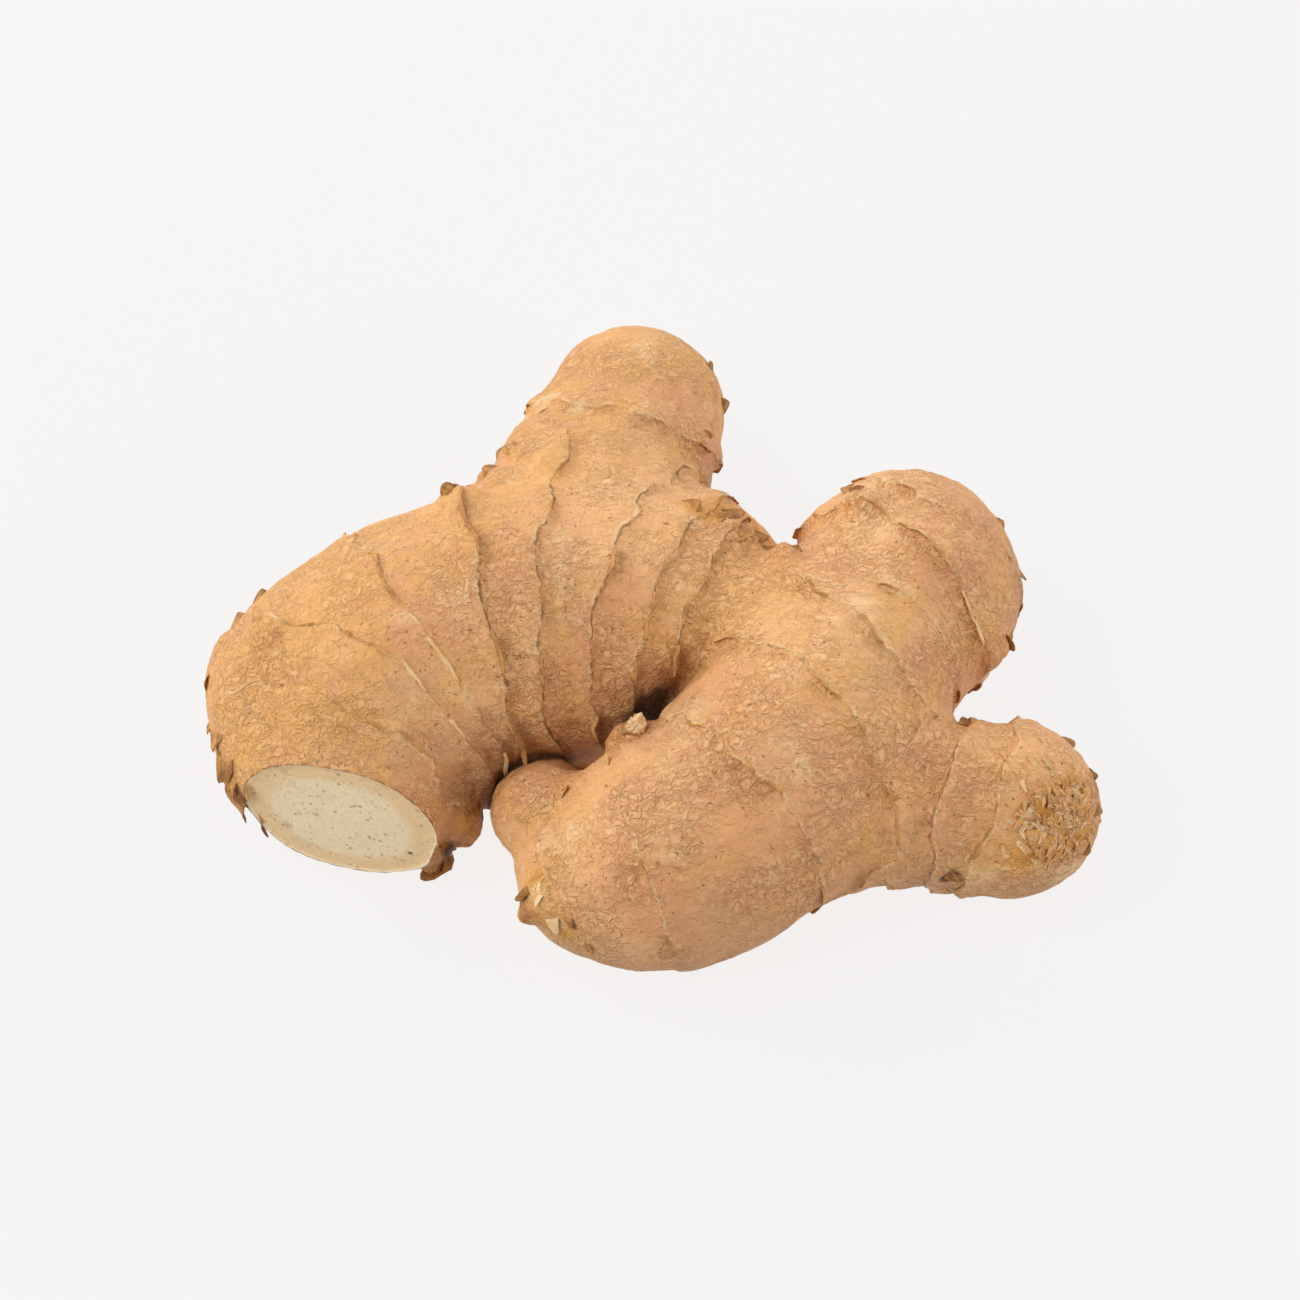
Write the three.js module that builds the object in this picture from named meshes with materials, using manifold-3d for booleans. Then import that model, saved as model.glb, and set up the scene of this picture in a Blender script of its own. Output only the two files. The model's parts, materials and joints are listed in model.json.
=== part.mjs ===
/**
 * A fresh ginger rhizome, lying as it was put down: one solid, in millimetres, +Z up.
 *
 * The hand is a few thick lobes that grew into each other. The mother lobe curls round from the middle to a
 * straight cut at its free end. A knob and a blunt shoulder stand on its far side. The long lobe crosses in front
 * and ends in a broad tip, with a short finger on its right and a small side bud at its near end. Each lobe is
 * ringed by the scars of its leaf scales, and dormant buds and root stubs sit on the rings.
 *
 * Every lobe is a chain of stations along its middle. The skin is the surface where a soft union of all the
 * chains is zero, found on a grid, raised at each ring, and then pressed flat at the few spots that the hand
 * rests on and cut straight by the knife. The plane z = 0 is what it lies on, under the middle of its bounding box.
 */
import * as THREE from 'three';
import { mergeVertices } from 'three/addons/utils/BufferGeometryUtils.js';
import Module from 'manifold-3d';

// ---- Driving dimensions ----

const GRID = 2.55; // cell of the grid that the skin is found on
const BLEND = 2.2; // how softly the lobes run into each other
const BUD_BLEND = 0.9; // and the small buds into the lobes
const SPAN_STEPS = 6; // steps along a chain from one station to the next
const RING_CLIMB = 2; // length over which the skin climbs to a ring's lip
const RING_FALL = 4; // and over which it falls away beyond it
const RING_WANDER = 0.8; // how far a ring strays from its plane
const RING_SNAP = 0.4; // part of a cell from which the mesh is drawn onto a lip
const SWELL = 0.4; // height of the slow unevenness of the skin between rings
const PINCH_FILL = 0.2; // how far inside a filled corner of the grid counts
const CUT_CLEAR = 0.4; // least distance from the knife's plane to a point of the mesh, so that it cuts no slivers

// A station is [x, y, z, radius, height over width]. A ring is [station number, lean to the side, rake upwards,
// reach, lip], where the lean and the rake turn its plane, as slopes, the reach is in radii of the lobe and the
// lip is in mm. A ring runs on over every lobe of its limb that is within its reach.
const LOBES = {
  mother: {
    limb: 'back',
    stations: [
      [21.6, -14, 18.1, 12.5, 0.9],
      [11.4, -4, 19.1, 12, 0.9],
      [2.3, 0.4, 18, 16.3, 0.9],
      [-5.7, -1.1, 18, 20, 0.87],
      [-16.4, -2.6, 18.8, 21.8, 0.83],
      [-26.4, -6.4, 19.2, 22, 0.84],
      [-35.8, -11.2, 18.2, 22.1, 0.82],
      [-42.8, -13.6, 15.6, 20.4, 0.8],
    ],
    rings: [
      [1.2, -0.15, 0.05, 1.3, 0.4],
      [1.55, -0.05, 0, 1.6, 0.5],
      [2.3, 0.45, -0.2, 1.5, 0.5],
      [3.45, 0.2, -0.35, 1.3, 0.7],
      [4.6, 0.2, -0.15, 1.25, 0.6],
      [6, -0.3, 0.3, 1.2, 0.35],
      [6.85, -0.5, 0.15, 1.4, 0.6],
    ],
  },
  end: {
    limb: 'back',
    stations: [
      [-43.2, -20, 14, 12.4, 0.87],
      [-42.2, -27.1, 13.4, 13.1, 0.9],
      [-40.4, -41.6, 14.4, 10.2, 0.92],
    ],
    rings: [[0.95, 0.6, 0, 1.6, 0.5]],
  },
  knob: {
    limb: 'back',
    stations: [
      [-9.3, 10.7, 18.1, 16.5, 0.9],
      [-8.2, 23.4, 16.7, 15.9, 0.92],
      [-4.8, 35.4, 13.8, 15, 0.95],
      [-2.1, 44, 13.8, 13.8, 1],
    ],
    rings: [[2.4, 0, 0.55, 1.4, 0.8]],
  },
  shoulder: {
    limb: 'back',
    stations: [
      [0.9, 4, 18.1, 12.8, 0.9],
      [6.2, 9.4, 17.1, 11.8, 0.9],
    ],
    rings: [],
  },
  long: {
    limb: 'front',
    stations: [
      [-5.4, -41, 12.6, 13.3, 0.92],
      [2.3, -40.8, 14.7, 16.4, 0.92],
      [12, -36.2, 17.1, 17, 0.9],
      [21.4, -23, 17.6, 17.8, 0.9],
      [29.6, -6.8, 17.1, 16, 0.9],
      [37.8, 5.5, 16.1, 16.1, 0.95],
      [37.9, 11.2, 14.7, 15.5, 0.97],
    ],
    rings: [
      [0.85, 0.05, 0, 1.25, 0.35],
      [2.05, 0.1, 0, 1.2, 0.6],
      [2.6, 0.2, -0.5, 1.45, 0.55],
      [3.65, 0.35, -0.1, 1.3, 0.6],
      [3.65, -0.3, -0.45, 1.1, 0.3],
      [4.75, 0.3, -0.05, 1.25, 0.7],
      [5.8, 0.9, 0.1, 1.2, 0.4],
    ],
  },
  finger: {
    limb: 'front',
    stations: [
      [25.5, -27.8, 16.1, 14.3, 0.9],
      [32.5, -30.8, 14.6, 12.2, 0.95],
      [40.2, -31.3, 13.6, 11.5, 1],
      [48, -31.3, 12.9, 11.9, 1],
      [50.8, -30.9, 12.3, 12.4, 1],
    ],
    rings: [
      [1.6, 0.35, 0.25, 1.15, 0.5],
      [2.3, 0.3, 0.1, 1.2, 0.8],
      [3, 0.4, 0, 1.2, 0.6],
    ],
  },
  side_bud: {
    limb: 'front',
    stations: [
      [-7.2, -34, 13, 7, 1],
      [-14.2, -35, 16, 7, 1],
      [-14.6, -29.5, 12, 6.4, 1],
    ],
    rings: [],
  },
};

// Dormant buds and root stubs: [x, y, z, radius] at the root, then the same at the tip.
const BUDS = [
  [[-26.2, 6, 32.6, 4.6], [-28, 7.6, 34.6, 2]],
  [[-21.4, 13.4, 28.4, 4.6], [-23, 14.1, 29.6, 2.8]],
  [[-18.3, 20.4, 27.7, 3.4], [-19.5, 21.5, 28.6, 2.2]],
  [[-14.3, 16.4, 30.7, 3.2], [-15.3, 17.4, 31.4, 1.8]],
  [[-52.8, -13.7, 29.6, 2.8], [-53.4, -13.2, 30.2, 1.6]],
  [[-55.9, -22.4, 14.3, 4], [-56.8, -24.6, 12, 3.3]],
  [[19.8, 0.3, 27.2, 2.8], [19.3, 2, 28.5, 1.8]],
  [[32.1, 11.4, 28.1, 3], [31, 12.3, 28.8, 1.9]],
  [[46.6, -5.1, 19.5, 4], [49.2, -5.9, 18.7, 2.7]],
  [[-27.2, -30.6, 13, 3.4], [-26.2, -30.8, 8.5, 2.8]],
  [[-31.2, -33.4, 7.2, 2.8], [-30.2, -34, 4, 1.8]],
  [[11.6, 4.6, 27.6, 3.8], [13.2, 5.9, 28.6, 2.4]],
  [[-13, -48.5, 14.9, 3.4], [-16.6, -49.8, 13.8, 1.3]],
  [[-0.6, -26, 22.3, 2.6], [-3.7, -26.5, 21.9, 2.2]],
  [[-24.4, -21.5, 13, 5], [-21.6, -25, 11, 3.2]],
  [[-8.4, -12.6, 8, 4.5], [-9, -17.6, 6.5, 4.2]],
];

// The knife's plane, by a point on it and the direction that it faces, and half the width that it cuts.
const CUT = { at: [-42.6, -34.1, 12.1], facing: [-0.26, -0.966, 0], half: 19 };

const SKIN = { color: 0xd3a06c, roughness: 0.75, metalness: 0 };

// ---- The lobes as a field: below zero inside, above zero outside, in mm ----

function lobeSamples({ stations }) {
  const centres = new THREE.CatmullRomCurve3(
    stations.map(([x, y, z]) => new THREE.Vector3(x, y, z)), false, 'catmullrom', 0.5);
  const girths = new THREE.CatmullRomCurve3(
    stations.map(([, , , radius, flat]) => new THREE.Vector3(radius, flat, 0)), false, 'catmullrom', 0.5);
  const steps = (stations.length - 1) * SPAN_STEPS;
  return Array.from({ length: steps + 1 }, (_, i) => {
    const centre = centres.getPoint(i / steps);
    const girth = girths.getPoint(i / steps);
    return { centre, radius: girth.x, flat: girth.y };
  });
}

// A ring as a plane across its lobe: a point on the lobe's middle, the way the plane faces, and how far it runs.
function ringPlane({ limb }, samples, [station, lean, rake, reach, lip]) {
  const i = Math.min(Math.floor(station * SPAN_STEPS), samples.length - 2);
  const a = samples[i];
  const b = samples[i + 1];
  const t = station * SPAN_STEPS - i;
  const along = b.centre.clone().sub(a.centre).normalize();
  const side = along.clone().cross(new THREE.Vector3(0, 0, 1)).normalize();
  const up = side.clone().cross(along);
  return {
    limb,
    lip,
    at: a.centre.clone().lerp(b.centre, t),
    facing: along.addScaledVector(side, lean).addScaledVector(up, rake).normalize(),
    reach: reach * (a.radius + (b.radius - a.radius) * t),
  };
}

// The distance from a point to a round cone between two samples, pressed to its height over width.
function coneDistance(p, a, b) {
  const dx = b.centre.x - a.centre.x;
  const dy = b.centre.y - a.centre.y;
  const dz = b.centre.z - a.centre.z;
  const length = Math.hypot(dx, dy, dz);
  const px = p.x - a.centre.x;
  const py = p.y - a.centre.y;
  const pz = p.z - a.centre.z;
  const along = (px * dx + py * dy + pz * dz) / length;
  const across = Math.sqrt(Math.max(0, px * px + py * py + pz * pz - along * along));
  const taper = Math.min(0.9, Math.max(-0.9, (a.radius - b.radius) / length));
  const t = Math.min(1, Math.max(0, (along - across * taper / Math.sqrt(1 - taper * taper)) / length));
  const flat = a.flat + (b.flat - a.flat) * t;
  return Math.hypot(px - dx * t, py - dy * t, (pz - dz * t) / flat) - a.radius - (b.radius - a.radius) * t;
}

function chainDistance(p, samples) {
  let best = Infinity;
  for (let i = 1; i < samples.length; i++) best = Math.min(best, coneDistance(p, samples[i - 1], samples[i]));
  return best;
}

const chains = Object.values(LOBES).map((lobe) => {
  const samples = lobeSamples(lobe);
  return { limb: lobe.limb, samples, rings: lobe.rings.map((ring) => ringPlane(lobe, samples, ring)) };
});
const rings = chains.flatMap((chain) => chain.rings);
const buds = BUDS.map((ends) => ends.map(([x, y, z, radius]) => (
  { centre: new THREE.Vector3(x, y, z), radius, flat: 1 })));

// How far a point is past a ring's plane, along its lobe.
function pastRing(p, { at, facing }) {
  const wander = Math.sin(0.43 * p.x + 0.31 * p.z) * Math.sin(0.37 * p.y - 0.29 * p.z + 1);
  return (p.x - at.x) * facing.x + (p.y - at.y) * facing.y + (p.z - at.z) * facing.z + RING_WANDER * wander;
}

const smooth = (t) => THREE.MathUtils.smoothstep(t, 0, 1);

function ringLift(p, ring) {
  const fade = smooth((1.1 - p.distanceTo(ring.at) / ring.reach) / 0.1);
  if (fade === 0) return 0;
  const past = pastRing(p, ring);
  return fade * ring.lip * smooth(past < 0 ? 1 + past / RING_CLIMB : 1 - past / RING_FALL);
}

// The skin, with its rings or without them.
function skinField(p, ringed) {
  const share = { back: 0, front: 0 };
  for (const { limb, samples } of chains) share[limb] += Math.exp(-chainDistance(p, samples) / BLEND);
  const sum = share.back + share.front;
  const swell = Math.sin(0.29 * p.x + 0.9) * Math.sin(0.26 * p.y + 0.4) * Math.cos(0.21 * p.z);
  let skin = -BLEND * Math.log(sum) - SWELL * swell;
  if (ringed) for (const ring of rings) skin -= (share[ring.limb] / sum) * ringLift(p, ring);
  for (const [root, tip] of buds) {
    const bud = coneDistance(p, root, tip);
    if (bud < 8 * BUD_BLEND) skin = -BUD_BLEND * Math.log(Math.exp(-skin / BUD_BLEND) + Math.exp(-bud / BUD_BLEND));
  }
  return skin;
}

// ---- The skin as a mesh ----

// A closed surface where field is zero, by naive surface nets on a grid of cubes.
function surfaceNets(field, low, high, cell) {
  const count = ['x', 'y', 'z'].map((axis) => Math.ceil((high[axis] - low[axis]) / cell) + 1);
  const step = [1, count[0], count[0] * count[1]];
  const corner = (i, j, k) => i + j * step[1] + k * step[2];
  const at = (i, j, k) => new THREE.Vector3(low.x + i * cell, low.y + j * cell, low.z + k * cell);
  const value = new Float32Array(count[0] * count[1] * count[2]);
  for (let k = 0; k < count[2]; k++)
    for (let j = 0; j < count[1]; j++)
      for (let i = 0; i < count[0]; i++) value[corner(i, j, k)] = field(at(i, j, k));

  // The skin would pinch where a face of the grid has its corners inside and outside by turns, so the nearer outside
  // corner is filled, until no such face is left.
  for (let pinched = true; pinched; ) {
    pinched = false;
    for (let k = 0; k < count[2] - 1; k++)
      for (let j = 0; j < count[1] - 1; j++)
        for (let i = 0; i < count[0] - 1; i++)
          for (let axis = 0; axis < 3; axis++) {
            const here = corner(i, j, k);
            const u = step[(axis + 1) % 3];
            const v = step[(axis + 2) % 3];
            const face = [here, here + u, here + u + v, here + v];
            const [a, b, c, d] = face.map((n) => value[n] < 0);
            if (a === b || a !== c || b !== d) continue;
            const [one, other] = a ? [face[1], face[3]] : [face[0], face[2]];
            value[value[one] < value[other] ? one : other] = -PINCH_FILL;
            pinched = true;
          }
  }

  const vertexOf = new Int32Array(value.length).fill(-1);
  const vertices = [];
  for (let k = 0; k < count[2] - 1; k++)
    for (let j = 0; j < count[1] - 1; j++)
      for (let i = 0; i < count[0] - 1; i++) {
        const sum = new THREE.Vector3();
        let crossings = 0;
        for (let axis = 0; axis < 3; axis++)
          for (let edge = 0; edge < 4; edge++) {
            const from = [i, j, k];
            from[(axis + 1) % 3] += edge & 1;
            from[(axis + 2) % 3] += edge >> 1;
            const a = value[corner(...from)];
            const b = value[corner(...from) + step[axis]];
            if (a < 0 === b < 0) continue;
            from[axis] += a / (a - b);
            sum.add(at(...from));
            crossings++;
          }
        if (!crossings) continue;
        vertexOf[corner(i, j, k)] = vertices.length;
        vertices.push(sum.divideScalar(crossings));
      }

  const triangles = [];
  for (let k = 1; k < count[2] - 1; k++)
    for (let j = 1; j < count[1] - 1; j++)
      for (let i = 1; i < count[0] - 1; i++)
        for (let axis = 0; axis < 3; axis++) {
          const here = corner(i, j, k);
          const inside = value[here] < 0;
          if (inside === value[here + step[axis]] < 0) continue;
          const u = step[(axis + 1) % 3];
          const v = step[(axis + 2) % 3];
          const quad = [here, here - u, here - u - v, here - v].map((c) => vertexOf[c]);
          if (!inside) quad.reverse();
          const [a, b, c, d] = quad;
          const shortAC = vertices[a].distanceTo(vertices[c]) < vertices[b].distanceTo(vertices[d]);
          triangles.push(...(shortAC ? [a, b, c, a, c, d] : [a, b, d, b, c, d]));
        }
  return { vertices, triangles };
}

function outward(p) {
  const reach = 0.3;
  const along = (axis) => {
    const ahead = p.clone();
    const behind = p.clone();
    ahead[axis] += reach;
    behind[axis] -= reach;
    return (skinField(ahead) - skinField(behind)) / (2 * reach);
  };
  return new THREE.Vector3(along('x'), along('y'), along('z'));
}

// Moves a point straight onto the skin.
function settle(p, ringed) {
  const slope = outward(p);
  for (let pass = 0; pass < 3; pass++)
    p.addScaledVector(slope, -skinField(p, ringed) / Math.max(slope.lengthSq(), 0.4));
}

// Moves each point towards the middle of its neighbours.
function relax(vertices, triangles) {
  const sums = vertices.map(() => new THREE.Vector3());
  const counts = new Uint16Array(vertices.length);
  for (let i = 0; i < triangles.length; i++) {
    const next = triangles[i % 3 === 2 ? i - 2 : i + 1];
    sums[triangles[i]].add(vertices[next]);
    counts[triangles[i]]++;
  }
  vertices.forEach((p, i) => p.lerp(sums[i].divideScalar(counts[i]), 0.5));
}

// Draws a point that is close to a ring's lip onto it, along the lobe.
function snap(p) {
  for (const ring of rings) {
    if (p.distanceTo(ring.at) > ring.reach) continue;
    const past = pastRing(p, ring);
    if (Math.abs(past) < RING_SNAP * GRID) p.addScaledVector(ring.facing, -past);
  }
}

const everyCentre = chains.flatMap(({ samples }) => samples.map(({ centre }) => centre));
const extent = new THREE.Box3().setFromPoints(everyCentre).expandByScalar(28);
const { vertices, triangles } = surfaceNets(skinField, extent.min, extent.max, GRID);
for (let pass = 0; pass < 3; pass++) {
  relax(vertices, triangles);
  vertices.forEach((p) => settle(p));
}
vertices.forEach((p) => {
  snap(p);
  settle(p, true);
  p.z = Math.max(p.z, 0);
});

// ---- The knife's cut ----

const wasm = await Module();
wasm.setup();

function solidOf(points, indices) {
  const mesh = { numProp: 3, vertProperties: new Float32Array(points), triVerts: new Uint32Array(indices) };
  return new wasm.Manifold(new wasm.Mesh(mesh));
}

const facing = new THREE.Vector3(...CUT.facing).normalize();
const plane = new THREE.Plane().setFromNormalAndCoplanarPoint(facing, new THREE.Vector3(...CUT.at));
vertices.forEach((p) => {
  const past = plane.distanceToPoint(p);
  if (Math.abs(past) < CUT_CLEAR) p.addScaledVector(facing, (past < 0 ? -CUT_CLEAR : CUT_CLEAR) - past);
});

const knife = new THREE.BoxGeometry(2 * CUT.half, 60, 80);
knife.translate(0, -30, 0);
knife.rotateZ(Math.atan2(facing.x, -facing.y));
knife.translate(...CUT.at);
knife.deleteAttribute('normal');
knife.deleteAttribute('uv');
const { attributes, index } = mergeVertices(knife);
const whole = solidOf(vertices.flatMap((p) => p.toArray()), triangles);
const cut = whole.subtract(solidOf(attributes.position.array, index.array)).getMesh();

const geometry = new THREE.BufferGeometry();
geometry.setAttribute('position', new THREE.BufferAttribute(Float32Array.from(cut.vertProperties), 3));
geometry.setIndex(Array.from(cut.triVerts));
geometry.computeVertexNormals();

const rhizome = new THREE.Mesh(geometry, new THREE.MeshStandardMaterial(SKIN));
rhizome.name = 'rhizome';

const group = new THREE.Group();
group.add(rhizome);
export default group;
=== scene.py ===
"""A fresh hand of ginger: wrinkled tan skin, ragged leaf-scale scars, buds and one cut end.

The skin is grown over the same chains of stations as the solid: balls are strung along every chain, fused,
drawn onto the soft union of the chains and then raised at each ring, so it stays where the solid is. Lengths
in the tables are millimetres, as the solid's are, and MM turns them into Blender's metres.
"""

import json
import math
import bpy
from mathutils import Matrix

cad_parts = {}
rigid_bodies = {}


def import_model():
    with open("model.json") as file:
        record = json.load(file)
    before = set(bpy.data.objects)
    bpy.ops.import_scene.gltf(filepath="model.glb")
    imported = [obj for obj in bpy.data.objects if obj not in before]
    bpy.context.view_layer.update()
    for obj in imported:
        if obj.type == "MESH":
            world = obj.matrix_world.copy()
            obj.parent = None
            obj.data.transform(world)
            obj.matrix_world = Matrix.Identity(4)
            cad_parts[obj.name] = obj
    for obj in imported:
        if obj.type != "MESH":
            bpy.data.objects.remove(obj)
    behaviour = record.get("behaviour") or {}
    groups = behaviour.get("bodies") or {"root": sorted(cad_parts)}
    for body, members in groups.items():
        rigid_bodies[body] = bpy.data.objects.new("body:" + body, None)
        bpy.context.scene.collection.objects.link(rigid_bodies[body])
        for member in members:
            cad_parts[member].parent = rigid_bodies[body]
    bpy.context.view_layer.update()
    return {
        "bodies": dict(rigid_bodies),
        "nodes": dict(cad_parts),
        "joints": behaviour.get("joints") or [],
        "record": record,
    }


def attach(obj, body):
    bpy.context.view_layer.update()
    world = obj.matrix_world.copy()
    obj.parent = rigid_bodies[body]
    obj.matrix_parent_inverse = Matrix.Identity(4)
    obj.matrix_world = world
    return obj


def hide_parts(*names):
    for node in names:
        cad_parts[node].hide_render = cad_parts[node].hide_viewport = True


bl_info = {
    "name": "Ginger hand",
    "version": (1, 0, 0),
    "blender": (4, 5, 0),
    "location": "3D View > Sidebar > Ginger",
    "description": "Grows a fresh hand of ginger over its solid",
    "category": "Add Mesh",
}

import bmesh
import bpy
import numpy as np
from bpy.props import FloatProperty, FloatVectorProperty, PointerProperty
from bpy.types import Operator, Panel, PropertyGroup
from mathutils import Vector

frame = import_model()

MM = 0.001

# ---- The lobes, as in the solid ----

BLEND = 2.2  # how softly the lobes run into each other
BUD_BLEND = 0.9  # and the small buds into the lobes
LIMBS = ("back", "front", "side")
CREVICE_BLEND = 0.4  # how softly one limb runs into another, where a crevice parts them
SADDLE_BLEND = 2.4  # and how much more softly over the saddle,
SADDLE_FROM = 4  # which starts here along x
SADDLE_RUN = 9  # and is whole after this much more
SPAN_STEPS = 6  # steps along a chain from one station to the next
RING_WANDER = 0.8  # how far a ring strays from its plane
REACH = 14  # how far off a lobe is still felt
FAINT = 1e-6  # and what is left of it further off
SWELL = 0.4  # height of the slow unevenness of the skin between rings
LIP_CLIMB = 0.7  # length of skin over which a ring's lip climbs
LIP_FALL = 4  # and falls again past it
FAR = 50.0  # how far past a ring the skin is where there is none
LOBE_GAP = 40.0  # how far apart the markings of one lobe and the next are
CREASE_SIZES = (1.6, 0.6)  # how wide the skin's coarse and fine crinkles are
SKIN_BUMP = 0.00026  # depth of the skin's finest relief, in metres,
DRY_BUMP = 0.0003  # and of the flesh's and the dry scraps'
LAMP_SIZE = 0.9  # in metres, of every lamp
SKY_GLOW = 0.02  # how bright the world is
FLOOR_SHINE = 0.925  # how bright the floor looks
FLOOR_GLOW = 0.66  # and how brightly it lights the hand from below

# A lobe is its limb, its stations and its rings. A station is x, y, z, radius and height over width. A ring
# is its station number, its lean to the side, its rake upwards, its reach in radii of the lobe and its lip,
# and then how dark its line is and how far it bows along.
LOBES = {
    "mother": ("back", (
        (21.6, -14, 18.1, 12.5, 0.9), (11.4, -4, 19.1, 12, 0.9), (2.3, 0.4, 18, 16.3, 0.9),
        (-5.7, -1.1, 18, 20, 0.87), (-16.4, -2.6, 18.8, 21.8, 0.83), (-26.4, -6.4, 19.2, 22, 0.84),
        (-35.8, -11.2, 18.2, 22.1, 0.82), (-42.8, -13.6, 15.6, 20.4, 0.8),
    ), (
        (1.2, -0.15, 0.05, 1.3, 0.4, 0.55), (1.55, -0.05, 0, 1.6, 0.5, 0.6),
        (2.3, 0.45, -0.2, 1.5, 0.5, 0.7), (3.45, 0.2, -0.35, 1.3, 0.7, 0.85),
        (4.6, 0.2, -0.15, 1.25, 0.6, 0.9), (6.05, -0.2, 0.27, 1.2, 0.35, 0.3, 0.16),
        (6.2, -0.7, -0.2, 1.4, 0.6, 0.35, -0.26),
    )),
    "end": ("back", (
        (-43.2, -20, 14, 12.4, 0.87), (-42.2, -27.1, 13.4, 13.1, 0.9), (-40.4, -41.6, 14.4, 10.2, 0.92),
    ), (
        (0.95, 0.6, 0, 1.6, 0.5, 0.3),
    )),
    "knob": ("back", (
        (-9.3, 10.7, 18.1, 16.5, 0.9), (-8.2, 23.4, 16.7, 15.9, 0.92), (-4.8, 35.4, 13.8, 15, 0.95),
        (-2.1, 44, 13.8, 13.8, 1),
    ), (
        (2.4, 0, 0.55, 1.4, 0.8, 0.45),
    )),
    "shoulder": ("back", (
        (0.9, 4, 18.1, 12.8, 0.9), (6.2, 9.4, 17.1, 11.8, 0.9),
    ), ()),
    "long": ("front", (
        (-5.4, -41, 12.6, 13.3, 0.92), (2.3, -40.8, 14.7, 16.4, 0.92), (12, -36.2, 17.1, 17, 0.9),
        (21.4, -23, 17.6, 17.8, 0.9), (29.6, -6.8, 17.1, 16, 0.9), (37.8, 5.5, 16.1, 16.1, 0.95),
        (37.9, 11.2, 14.7, 15.5, 0.97),
    ), (
        (0.85, 0.05, 0, 1.25, 0.35, 0.15), (2.05, 0.1, 0, 1.2, 0.6, 0.25),
        (2.6, 0.2, -0.5, 1.45, 0.55, 0.2), (4, 0.25, 0.3, 1.4, 0.6, 0.3, 0.14),
        (3.65, -0.3, -0.45, 1.1, 0.3, 0.2), (5, 0.5, 0.2, 1.25, 0.7, 0.4, 0.14),
        (5.2, 0.4, -0.15, 1.2, 0.4, 0.25, -0.5),
    )),
    "finger": ("front", (
        (25.5, -27.8, 16.1, 14.3, 0.9), (32.5, -30.8, 14.6, 12.2, 0.95), (40.2, -31.3, 13.6, 11.5, 1),
        (48, -31.3, 12.9, 11.9, 1), (50.8, -30.9, 12.3, 12.4, 1),
    ), (
        (1.6, 0.35, 0.25, 1.15, 0.5, 0.4), (2.3, 0.3, 0.1, 1.2, 0.8, 0.6), (3, 0.4, 0, 1.2, 0.6, 0.5),
    )),
    "side_bud": ("side", (
        (-7.2, -34, 13, 7, 1), (-14.2, -35, 16, 7, 1), (-14.6, -29.5, 12, 6.4, 1),
    ), ()),
}

# Dormant buds and root stubs: x, y, z and radius at the root, then the same at the tip.
BUDS = (
    ((-26.2, 6, 32.6, 4.6), (-28, 7.6, 34.6, 2)), ((-21.4, 13.4, 28.4, 4.6), (-23, 14.1, 29.6, 2.8)),
    ((-18.3, 20.4, 27.7, 3.4), (-19.5, 21.5, 28.6, 2.2)),
    ((-14.3, 16.4, 30.7, 3.2), (-15.3, 17.4, 31.4, 1.8)),
    ((-52.8, -13.7, 29.6, 2.8), (-53.4, -13.2, 30.2, 1.6)),
    ((-55.9, -22.4, 14.3, 4), (-56.8, -24.6, 12, 3.3)), ((19.8, 0.3, 27.2, 2.8), (19.3, 2, 28.5, 1.8)),
    ((32.1, 11.4, 28.1, 3), (31, 12.3, 28.8, 1.9)), ((46.6, -5.1, 19.5, 4), (49.2, -5.9, 18.7, 2.7)),
    ((-27.2, -30.6, 13, 3.4), (-26.2, -30.8, 8.5, 2.8)), ((-31.2, -33.4, 7.2, 2.8), (-30.2, -34, 4, 1.8)),
    ((11.6, 4.6, 27.6, 3.8), (13.2, 5.9, 28.6, 2.4)),
    ((-13, -48.5, 14.9, 3.4), (-16.6, -49.8, 13.8, 1.3)),
    ((-0.6, -26, 22.3, 2.6), (-3.7, -26.5, 21.9, 2.2)), ((-24.4, -21.5, 13, 5), (-21.6, -25, 11, 3.2)),
    ((-8.4, -12.6, 8, 4.5), (-9, -17.6, 6.5, 4.2)),
)

BUD_NEAR = 16  # how far from its root a bud is still felt
DEEP = -20  # depth under the skin past which no bud is felt

# The knife's plane, by a point on it and the direction that it faces, and half the width that it cuts.
CUT_AT = np.array((-42.6, -34.1, 12.1))
CUT_FACING = np.array((-0.26, -0.966, 0)) / math.hypot(0.26, 0.966)
CUT_HALF = 19
FLESH_SPOTS = (  # bruises on the cut face, by middle, radius and how dark they are
    ((-33.5, -36.4, 9.3), 0.6, 0.95),
    ((-51, -31.8, 9.8), 1.3, 0.3),
    ((-46.5, -33, 13.8), 0.5, 0.5),
    ((-40, -34.8, 6.3), 0.4, 0.6),
    ((-37.6, -35.4, 7.6), 0.35, 0.6),
)
FLESH_ROWS = 14  # rows of faces from the cut's rim to its middle
FLESH_EDGE = 0.035  # share of the cut face taken by its outermost row

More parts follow.
